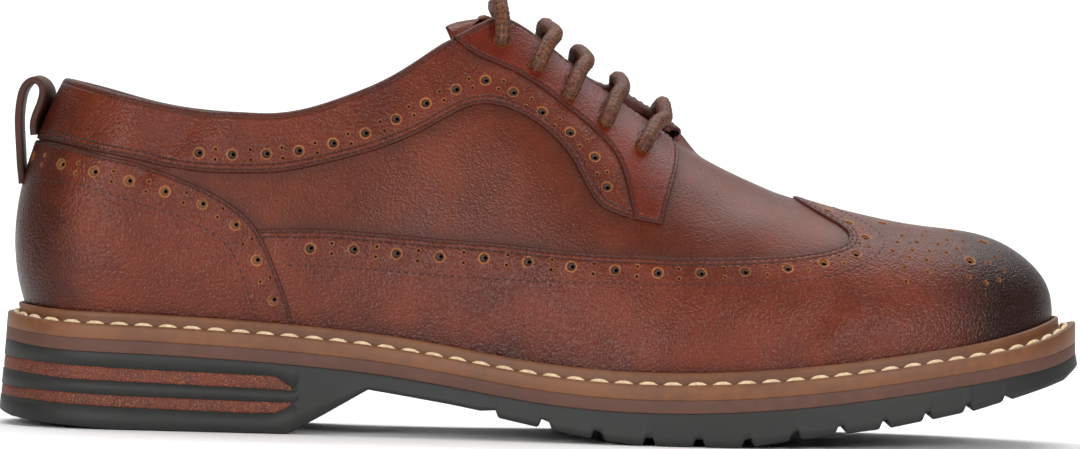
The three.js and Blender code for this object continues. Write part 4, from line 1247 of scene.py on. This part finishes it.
def make_laces():
    lift = GAP + LACE_RADIUS + EYELET_LIFT
    for number, (along, up, outer_lean, inner_lean) in enumerate(EYELETS):
        halves = []
        for side, lean in ((OUTER, outer_lean), (INNER, inner_lean)):
            line = []
            eyelet = eyelet_spot((along, up), side)[None]
            inward = eyelet + [[0, 1.2]]
            line.append(skin(inward, side, 5.0)[0])
            line.append(skin(eyelet + [[0, 0.3]], side, 1.6)[0])
            line.append(skin(eyelet - [[0, 0.3]], side, -0.9)[0])
            for share in CLIMB[1:]:
                station = station_at(along + lean * share)
                edge = float(edge_share(np.array([side * station]))[0])
                height = min(up, edge) + (edge - min(up, edge)) * share
                spot = np.array([[np.interp(station, SHARES, PATTERN_RUN), height * GIRTH]])
                line.append(skin(spot, side, -lift + (0.5 if share < 0.5 else 0))[0])
            halves.append(line)
        outer, inner = halves[0], halves[1][::-1]
        middle = (outer[-1] + inner[0]) / 2
        middle[2] += LACE_RADIUS * 0.6
        batch = Batch()
        tube(batch, [*outer, middle, *inner], LACE_RADIUS, sides=24, step=0.35, weave=0.07)
        build(f"lace_{number + 1}", batch, [lace_cord], [f"lace_bar_{number + 1}"])


# Tongue
TONGUE_ROOT = 0.668
TONGUE_SIDE_END = 0.407
TONGUE_TOP_END = 0.440
TONGUE_THICKNESS = 2.6
TONGUE_DEPTH = OVERLAY + GAP + 2 + 3 * GAP


def make_tongue():
    columns, rows = 60, 26
    lines = [[], []]
    across = np.linspace(0, 1, rows + 1)
    ends = TONGUE_SIDE_END + (TONGUE_TOP_END - TONGUE_SIDE_END) * smooth(across / 0.8)
    for i in range(columns + 1):
        share = i / columns
        x = (TONGUE_ROOT + (ends - TONGUE_ROOT) * share) * LENGTH
        runs = np.interp(share_at((x - TOP_BACK) / (TIP - TOP_BACK)), SHARES, PATTERN_RUN)
        side_share = 0.76 + 0.07 * float(smooth((share - 0.7) / 0.3)) + 0.04 * float(smooth((0.3 - share) / 0.3))
        side_share += 0.10 * max(0, (share - 0.93) / 0.07) ** 2
        tuck = np.sqrt(max(0, 1 - max(0, (share - 0.985) / 0.015) ** 2))
        up = side_share + (1 - side_share) * across
        edge_tuck = np.sqrt(np.clip(1 - (1 - np.clip((up - side_share) * GIRTH / 1.4, 0, 1)) ** 2, 0, 1))
        for more, line in zip((0, 1), lines):
            half = []
            for side in (OUTER, INNER):
                spots = np.stack([runs, up * GIRTH], -1)
                middle = TONGUE_DEPTH + TONGUE_THICKNESS / 2
                depth = middle + (more - 0.5) * TONGUE_THICKNESS * edge_tuck * tuck
                half.append(skin(spots, side, depth))
            line.append(np.concatenate([half[0], half[1][::-1][1:]]))
    batch = Batch()
    batch.grid(lines[0], flip=True)
    batch.grid(lines[1])
    build("tongue_leather", batch, [leather], ["tongue"], weld=0.02)


# Pull loop: a folded strap at the back of the collar, its line seen from the side
LOOP_LINE = [
    (0.0171, 0.566), (0.0164, 0.584), (0.0152, 0.608), (0.0142, 0.640), (0.0130, 0.680), (0.0122, 0.723),
    (0.0137, 0.768), (0.0188, 0.802), (0.0268, 0.814), (0.0345, 0.803), (0.0374, 0.780), (0.0360, 0.754),
    (0.0322, 0.728), (0.0304, 0.705), (0.0312, 0.684),
]
STRAP_WIDTH = 13
STRAP_THICKNESS = 2.0
LOOP_TWIST = 13


def make_loop():
    points = np.array([(x * LENGTH, z * INSTEP_HEIGHT) for x, z in LOOP_LINE])
    run = np.concatenate([[0], np.cumsum(np.linalg.norm(np.diff(points, axis=0), axis=1))])
    through = curves(np.column_stack([run, points]))
    at = np.linspace(0, run[-1], 90)
    line = np.stack([axis(at) for axis in through], -1)
    tangent = np.gradient(line, axis=0)
    tangent /= np.linalg.norm(tangent, axis=1, keepdims=True)
    rings, shades = [], []
    half_width, half_thick, corner = STRAP_WIDTH / 2, STRAP_THICKNESS / 2, 0.5
    section = []
    for cx, cy, start in ((1, 1, 0), (-1, 1, 90), (-1, -1, 180), (1, -1, 270)):
        for turn in (0, 45, 90):
            angle = math.radians(start + turn)
            section.append((cx * (half_width - corner) + corner * math.cos(angle),
                            cy * (half_thick - corner) + corner * math.sin(angle)))
    for i, (x, z) in enumerate(line):
        share = at[i] / run[-1]
        twist = math.radians(LOOP_TWIST * float(smooth((share - 0.58) / 0.25)))
        across = np.array([-math.sin(twist) * tangent[i][1], math.cos(twist), math.sin(twist) * tangent[i][0]])
        along = np.array([tangent[i][0], 0, tangent[i][1]])
        outward = np.cross(along, across)
        rings.append([np.array([x, 0, z]) + a * across + b * outward for a, b in section])
        shades.append([[0.9 if abs(a) > half_width - 0.6 else 0, 0, 0, 1] for a, b in section])
    batch = Batch()
    batch.grid(rings, closed=True, marks=shades)
    count = len(section)
    batch.faces.append(list(range(count))[::-1])
    batch.faces.append([(len(rings) - 1) * count + i for i in range(count)])
    batch.paints.extend([0, 0])
    build("pull_strap", batch, [strap_leather], ["pull_loop"])


# Sole
TREAD_START = 141.5
LUG_COUNT = 11
FIRST_PITCH = 14.9
PITCH_SHRINK = 0.38
LUG_SHARE = 0.7
LUG_SLOPE = 1.1
GROOVE_DEPTH = 2.2
HEEL_UNDERSIDE = [
    (0.000, 0.127), (0.015, 0.082), (0.036, 0.055), (0.066, 0.031), (0.115, 0.000), (0.270, 0.000),
    (0.277, 0.030), (0.302, 0.180), (0.344, 0.442), (0.374, 0.397), (0.420, 0.325), (0.446, 0.277),
]
LUG_FEET = [
    (0.464, 0.212), (0.495, 0.150), (0.541, 0.062), (0.590, 0.000), (0.685, 0.000), (0.728, 0.079),
    (0.767, 0.140), (0.813, 0.202), (0.852, 0.284), (0.898, 0.384), (0.934, 0.493), (0.964, 0.589),
    (0.984, 0.661), (1.000, 0.790),
]
# The heel's two inlaid bands: share of the length, then the bottom and top as shares of the shelf's rise
UPPER_BAND = [
    (0.000, 0.530, 0.660), (0.066, 0.470, 0.612), (0.144, 0.451, 0.584), (0.259, 0.418, 0.556), (0.278, 0.412, 0.430),
]
LOWER_BAND = [
    (0.000, 0.277, 0.379), (0.069, 0.231, 0.350), (0.118, 0.213, 0.330), (0.230, 0.188, 0.310), (0.261, 0.194, 0.307),
    (0.278, 0.290, 0.305),
]
BANDS_END = 0.278
INLAY_RECESS = 0.3


def flare(u):
    x = plan_point(u)[..., 0]
    return SIDE_FLARE + (HEEL_FLARE - SIDE_FLARE) * smooth(1 - x / (3 * HEEL_ROUND))


def welt_base(x):
    return shelf_height(x) - WELT_THICKNESS - TOE_WELT * smooth((np.asarray(x) / LENGTH - 0.93) / 0.07)


def midsole_base(x):
    return welt_base(x) - MIDSOLE_THICKNESS


def underside():
    rows = [(along * LENGTH, height * SHELF_RISE) for along, height in HEEL_UNDERSIDE]
    feet = np.array(LUG_FEET)
    foot = lambda x: float(np.interp(x / LENGTH, feet[:, 0], feet[:, 1])) * SHELF_RISE
    for lug in range(LUG_COUNT):
        pitch = FIRST_PITCH - PITCH_SHRINK * lug
        start = TREAD_START + FIRST_PITCH * lug - PITCH_SHRINK * lug * (lug - 1) / 2
        end = start + pitch * LUG_SHARE
        rows.append((start - LUG_SLOPE, foot(start) + GROOVE_DEPTH))
        rows.append((start - 0.35, foot(start) + 0.35))
        rows.append((start + 0.2, foot(start)))
        rows.append((end - 0.2, foot(end)))
        rows.append((end + 0.35, foot(end) + 0.35))
        rows.append((end + LUG_SLOPE, foot(end) + GROOVE_DEPTH))
    rows.extend((along * LENGTH, height * SHELF_RISE) for along, height in LUG_FEET[-4:])
    return np.array(rows)


def ring_shares(step=2.0, extra=()):
    """Stations all round the sole: even along its outline, with extra places along the length on both sides."""
    line = plan_point(SHARES)
    run = np.concatenate([[0], np.cumsum(np.linalg.norm(np.diff(line, axis=0), axis=1))])
    even = np.interp(np.linspace(0, run[-1], int(run[-1] / step)), run, SHARES)
    added = share_at(np.array([x for x in extra if 0 < x < LENGTH]) / LENGTH) if len(extra) else []
    every = np.unique(np.round(np.concatenate([even, added]), 6))
    keep = np.concatenate([[True], np.diff(every) > 1e-4])
    return every[keep]


def around(shares):
    return np.concatenate([shares, -shares[-2:0:-1]])


def band_limits(rows, x):
    rows = np.array(rows)
    return (np.interp(x / LENGTH, rows[:, 0], rows[:, 1]) * SHELF_RISE,
            np.interp(x / LENGTH, rows[:, 0], rows[:, 2]) * SHELF_RISE)


def wall_point(u, height, low, high, recess=0.0):
    """A point of the outsole's side at a height between its own low and high edge."""
    share = (height - low) / np.maximum(high - low, 0.1)
    point = rim_point(u, 0.8 * flare(u) * np.clip(share, 0, 1) + recess)
    return np.concatenate([point, np.asarray(height)[..., None]], -1)


def make_outsole():
    rows = underside()
    shares = ring_shares(2.0, rows[:, 0])
    u = around(shares)
    x = plan_point(u)[:, 0]
    low = np.interp(x, rows[:, 0], rows[:, 1])
    high = midsole_base(x) + 0.05
    upper_low, upper_high = band_limits(UPPER_BAND, x)
    lower_low, lower_high = band_limits(LOWER_BAND, x)
    heel = x < BANDS_END * LENGTH
    levels = [(low + 0.02, -1.2), (low + 0.12, -0.45), (low + 0.5, 0.0)]
    bands = [(lower_low, lower_high, heel), (upper_low, upper_high, heel)]
    for band_low, band_high, here in bands:
        spread_low = low + 0.5 + (high - low - 1) * (0.25 if band_low is lower_low else 0.6)
        spread_high = low + 0.5 + (high - low - 1) * (0.45 if band_low is lower_low else 0.8)
        for height, recess in ((band_low - 0.15, 0), (band_low, INLAY_RECESS), (band_high, INLAY_RECESS),
                               (band_high + 0.15, 0)):
            plain = spread_low if height is band_low or recess == 0 and height[0] < band_high[0] else spread_high
            level = np.where(here, np.minimum(height, high - 0.6), plain)
            levels.append((level, np.where(here, -recess, 0.0)))
    levels.append((high - 0.3, 0.0))
    levels.append((high, -0.12))
    levels.append((high, -1.0))
    rings = []
    floor_height = levels[0][0]
    for level, out in levels:
        level = np.maximum(level, floor_height)
        rings.append(wall_point(u, level, low, high, -np.broadcast_to(out, len(u))))
    batch = Batch()
    batch.grid(rings, closed=True, flip=True)
    count = len(shares)
    columns = 13
    lines = []
    for k in range(count):
        one, other = rings[0][k], rings[0][(len(u) - k) % len(u)]
        share = np.linspace(0, 1, columns)[:, None]
        line = one * (1 - share) + other * share
        lines.append(line)
    batch.grid(lines, flip=False)
    build("outsole_rubber", batch, [rubber], ["outsole"], weld=0.03)
    for name, table in (("heel_inlay_upper", UPPER_BAND), ("heel_inlay_lower", LOWER_BAND)):
        band_shares = ring_shares(1.6, np.linspace(0.255, BANDS_END, 6) * LENGTH)
        band_shares = band_shares[plan_point(band_shares)[:, 0] < (BANDS_END - 0.0005) * LENGTH]
        line_u = np.concatenate([-band_shares[::-1], band_shares[1:]])
        bx = plan_point(line_u)[:, 0]
        b_low, b_high = band_limits(table, bx)
        r_low = np.interp(bx, rows[:, 0], rows[:, 1])
        r_high = midsole_base(bx) + 0.05
        rings = []
        for share, recess in ((0, 0.6), (0.05, 0.28), (0.2, 0.18), (0.5, 0.14), (0.8, 0.18), (0.95, 0.28), (1, 0.6)):
            height = b_low + (b_high - b_low) * share
            rings.append(wall_point(line_u, height, r_low, r_high, recess))
        batch = Batch()
        batch.grid(rings, flip=True)
        build(name + "_band", batch, [inlay_rubber], [name])


def lean_at(u, height):
    """How far the upper has moved outward, that far above the shelf."""
    foot = last_point(u, 0.0)
    low, high = np.zeros(len(u)), np.full(len(u), 0.3)
    for _ in range(24):
        middle = (low + high) / 2
        below = last_point(u, middle)[:, 2] < foot[:, 2] + height
        low, high = np.where(below, middle, low), np.where(below, high, middle)
    near = last_point(u, high)
    return np.maximum(0, np.sum((near - foot)[:, :2] * plan_normal(u), axis=1))


def lip_ring(u, share, lower, out):
    """A ring on the welt's lip, at a share of its height less a few tenths."""
    x = last_point(u, 0.0)[:, 0]
    height = share * (LIP_HEIGHT + TOE_LIP * smooth((x / LENGTH - 0.88) / 0.1)) - lower
    point = rim_point(u, UPPER_INSET - lean_at(u, height) - out)
    return np.concatenate([point, (shelf_height(x) + height)[:, None]], -1)


STITCH_SHARE = 0.62


def shelf_ring(u, share, lower=0.0):
    """A ring on the welt's shelf, a share of the way from its edge to the foot of its lip."""
    foot = UPPER_INSET - lean_at(u, 0.0) - (GAP + LIP_THICKNESS + 0.4)
    point = rim_point(u, flare(u) + (foot - flare(u)) * share)
    return np.concatenate([point, (shelf_height(point[:, 0]) - lower)[:, None]], -1)


def make_welt():
    u = around(ring_shares(1.6))
    at = lambda inset_by, height: np.concatenate(
        [rim_point(u, inset_by), height(rim_point(u, inset_by)[:, 0])[:, None]], -1)
    rings = [
        at(np.full(len(u), 12.0), welt_base),
        at(0.88 * flare(u) + 0.1, welt_base),
        at(0.88 * flare(u), lambda x: welt_base(x) + 0.3),
        at(0.95 * flare(u), lambda x: welt_base(x) + 0.5 * WELT_THICKNESS),
        at(flare(u), lambda x: shelf_height(x) - 0.7),
        at(flare(u) + 0.18, lambda x: shelf_height(x) - 0.2),
        at(flare(u) + 0.7, shelf_height),
        shelf_ring(u, 0.30), shelf_ring(u, 0.44, 0.02), shelf_ring(u, 0.52, 0.35), shelf_ring(u, STITCH_SHARE, 0.55),
        shelf_ring(u, 0.74, 0.40), shelf_ring(u, 0.86, 0.15), shelf_ring(u, 1.0, 0.0),
        lip_ring(u, 0.15, 0, GAP + LIP_THICKNESS + 0.15),
        lip_ring(u, 0.50, 0, GAP + LIP_THICKNESS),
        lip_ring(u, 1, 0.5, GAP + LIP_THICKNESS - 0.1),
        lip_ring(u, 1, 0.1, GAP + LIP_THICKNESS - 0.5),
        lip_ring(u, 1, 0, GAP + 0.5),
        lip_ring(u, 1, 0.4, 0.1),
        lip_ring(u, 0, 0, 0.0),
    ]
    marks = np.tile(PLAIN, (len(rings), len(u), 1)).astype(float)
    # Painted shade in the sunk stitch channel and at the foot of the lip.
    marks[9:13, :, 0] = 1.0
    marks[13:15, :, 0] = 0.8
    batch = Batch()
    batch.grid(rings, closed=True, flip=True, marks=marks)
    build("welt_leather", batch, [welt_leather], ["welt"])


def make_midsole():
    u = around(ring_shares(2.0))
    level = lambda inset_by, height: np.concatenate(
        [rim_point(u, inset_by), height(rim_point(u, inset_by)[:, 0])[:, None]], -1)
    top = lambda x: welt_base(x) + 0.05
    rings = [
        level(np.full(len(u), 12.0), midsole_base),
        level(0.8 * flare(u) + 0.1, midsole_base),
        level(0.8 * flare(u), lambda x: midsole_base(x) + 0.3),
        level(0.88 * flare(u), lambda x: top(x) - 0.3),
        level(0.88 * flare(u) + 0.1, top),
        level(np.full(len(u), 12.0), top),
    ]
    batch = Batch()
    batch.grid(rings, closed=True, flip=True)
    build("midsole_foam", batch, [midsole_foam], ["midsole"])


def make_sock():
    u_shares = ring_shares(2.5)
    columns = 17
    lines = []
    inset_by = UPPER_INSET + LINING_DEPTH + 0.1
    one, other = rim_point(u_shares, inset_by), rim_point(-u_shares, inset_by)
    for k in range(len(u_shares)):
        share = np.linspace(0, 1, columns)[:, None]
        line = one[k] * (1 - share) + other[k] * share
        cup = 1.2 * (2 * share[:, 0] - 1) ** 6
        height = shelf_height(line[:, 0]) + INSOLE_PROUD + cup
        lines.append(np.column_stack([line, height]))
    batch = Batch()
    batch.grid(lines, flip=True)
    build("sock_leather", batch, [sock_leather], ["insole"], weld=0.02)


# Stitches
# A stitch's sections: share of its run, size, and rise as a share of the way from its sunk ends to its crown
STITCH_FORM = [(0, 0.35, 0), (0.12, 0.78, 0.55), (0.30, 0.96, 0.92), (0.5, 1, 1), (0.70, 0.96, 0.92), (0.88, 0.78, 0.55),
               (1, 0.35, 0)]


def stitch(batch, start, end, normal, radius, sink, crown, sides=6):
    """One sewn stitch: a short arched length of thread whose ends go into the leather."""
    run = end - start
    along = run / np.linalg.norm(run)
    across = np.cross(normal, along)
    turns = np.linspace(0, 2 * np.pi, sides, endpoint=False)
    rings = []
    for share, size, up in STITCH_FORM:
        centre = start + run * share + normal * ((sink + crown) * up - sink)
        rings.append(centre + radius * size * (np.cos(turns)[:, None] * across + np.sin(turns)[:, None] * normal))
    batch.grid(rings, closed=True)
    first = len(batch.points) - len(STITCH_FORM) * sides
    batch.faces.append([first + i for i in range(sides)][::-1])
    batch.faces.append([first + (len(STITCH_FORM) - 1) * sides + i for i in range(sides)])
    batch.paints.extend([0, 0])


PITCH = 2.15
THREAD = 0.21


def sew(batch, line, side, depth=0.08, sink=None):
    """A row of stitches along a line of the pattern."""
    fine = flow(line, 0.5) if len(line) > 2 else line
    points = skin(fine, side, depth + (sink(fine) if sink else 0))
    normals = last_normal(*from_pattern(fine, side))
    run = np.concatenate([[0], np.cumsum(np.linalg.norm(np.diff(points, axis=0), axis=1))])
    count = int(run[-1] / PITCH)
    length = 0.68 * run[-1] / count
    starts = (np.arange(count) + 0.16) * run[-1] / count
    read = lambda values, at: np.stack([np.interp(at, run, values[:, axis]) for axis in range(3)], -1)
    firsts, lasts, outs = read(points, starts), read(points, starts + length), read(normals, starts + length / 2)
    for first, last, out in zip(firsts, lasts, outs):
        stitch(batch, first, last, out / np.linalg.norm(out), THREAD, 0.15, 0.05)


def edge_rows(batch, side, segments, number, rows, sink=None):
    """Stitched rows along one segment of a leather piece's outline."""
    loop, kinds, numbers = joined(segments)
    for row in rows:
        line = inset(loop, side, np.array([0 if k == OPEN else STEP_IN[k] + row for k in kinds]))
        index = [i for i in range(len(loop)) if numbers[i] == number]
        breaks = [j for j in range(1, len(index)) if index[j] != index[j - 1] + 1]
        if breaks:
            index = index[breaks[0]:] + index[:breaks[0]]
        sew(batch, line[index], side, sink=sink)


# Corners of the box that holds the lower front of each eyelet tab
BAR_TACK = [(0.573, 0.543), (0.606, 0.593), (0.603, 0.490), (0.575, 0.462)]


def make_stitches():
    batch = Batch()
    under_tab = sunk_by(TAB_SEAM, 3.0, 0.5)
    under_counter = sunk_by(COUNTER_EDGE, 2.5, 0.55)
    for side in (OUTER, INNER):
        edge_rows(batch, side, counter_segments(side), 1, [FIRST_ROW])
        edge_rows(batch, side, band_segments(side), 2, DOUBLE_ROW, under_tab)
        edge_rows(batch, side, wing_segments(side), 0, DOUBLE_ROW, under_counter)
        for number in range(4):
            edge_rows(batch, side, tab_segments(side), number, [FIRST_ROW])
        for table in (COUNTER_STITCH, WING_STITCH, BAR_TACK[:2]):
            sew(batch, flow(to_pattern(table)), side)
    build("upper_stitches", batch, [thread_dark])


WELT_PITCH = 6.8


def make_welt_stitches():
    fine = around(ring_shares(0.8))
    fine = np.concatenate([fine, fine[:1]])
    line = shelf_ring(fine, STITCH_SHARE, 0.1)
    run = np.concatenate([[0], np.cumsum(np.linalg.norm(np.diff(line, axis=0), axis=1))])
    read = lambda at: np.array([np.interp(at % run[-1], run, line[:, axis]) for axis in range(3)])
    count = int(round(run[-1] / WELT_PITCH))
    batch = Batch()
    for i in range(count):
        start, end = read(i * run[-1] / count), read((i + 0.90) * run[-1] / count)
        stitch(batch, start, end, np.array([0, 0, 1.0]), 0.7, 0.65, 0.25, sides=10)
    build("welt_stitches", batch, [thread_cream])


make_base()
make_lining()
make_panels()
make_laces()
make_tongue()
make_loop()
make_outsole()
make_welt()
make_midsole()
make_sock()
make_stitches()
make_welt_stitches()


# Floor, backdrop and soft studio light
def make_stage():
    n = Nodes("floor")
    tone = n.mix(n.ramp(n.noise(0.004, 2), 0.3, 0.7), (0.93, 0.93, 0.93, 1), (0.95, 0.95, 0.94, 1))
    material = n.finish(tone, 0.75)
    depth = [-2.6, -1.0, 0.8, 1.6, 2.1, 2.5, 2.8, 3.0, 3.0]
    height = [0, 0, 0, 0.02, 0.12, 0.32, 0.65, 1.1, 4.0]
    mesh = bpy.data.meshes.new("floor")
    points = [(x, y, z) for y, z in zip(depth, height) for x in (-5, 5)]
    faces = [(2 * i, 2 * i + 1, 2 * i + 3, 2 * i + 2) for i in range(len(depth) - 1)]
    mesh.from_pydata(points, [], faces)
    mesh.polygons.foreach_set("use_smooth", [True] * len(faces))
    mesh.materials.append(material)
    floor = bpy.data.objects.new("floor", mesh)
    bpy.context.scene.collection.objects.link(floor)


def soft_light(name, place_at, aim, width, height, power, tint=(1, 1, 1)):
    data = bpy.data.lights.new(name, "AREA")
    data.shape = "RECTANGLE"
    data.size, data.size_y = width, height
    data.energy = power
    data.color = tint
    light = bpy.data.objects.new(name, data)
    light.location = place_at
    light.rotation_euler = (Vector(aim) - Vector(place_at)).to_track_quat("-Z", "Y").to_euler()
    bpy.context.scene.collection.objects.link(light)


def make_lights():
    world = bpy.data.worlds.new("world")
    world.use_nodes = True
    background = world.node_tree.nodes["Background"]
    background.inputs["Color"].default_value = (1, 1, 1, 1)
    background.inputs["Strength"].default_value = 0.09
    bpy.context.scene.world = world
    bpy.context.scene.view_settings.view_transform = "Standard"
    soft_light("overhead", (0.0, 0.35, 1.5), (0, 0, 0.05), 2.2, 1.2, 22)
    soft_light("backdrop", (0.0, 1.2, 1.6), (0, 2.0, 0.0), 4.0, 0.8, 46)
    soft_light("front_left", (-0.80, -1.55, 0.50), (0, 0, 0.06), 0.5, 0.55, 17)
    soft_light("front_right", (1.05, -1.35, 0.65), (0, 0, 0.06), 0.5, 0.5, 15)


make_stage()
make_lights()
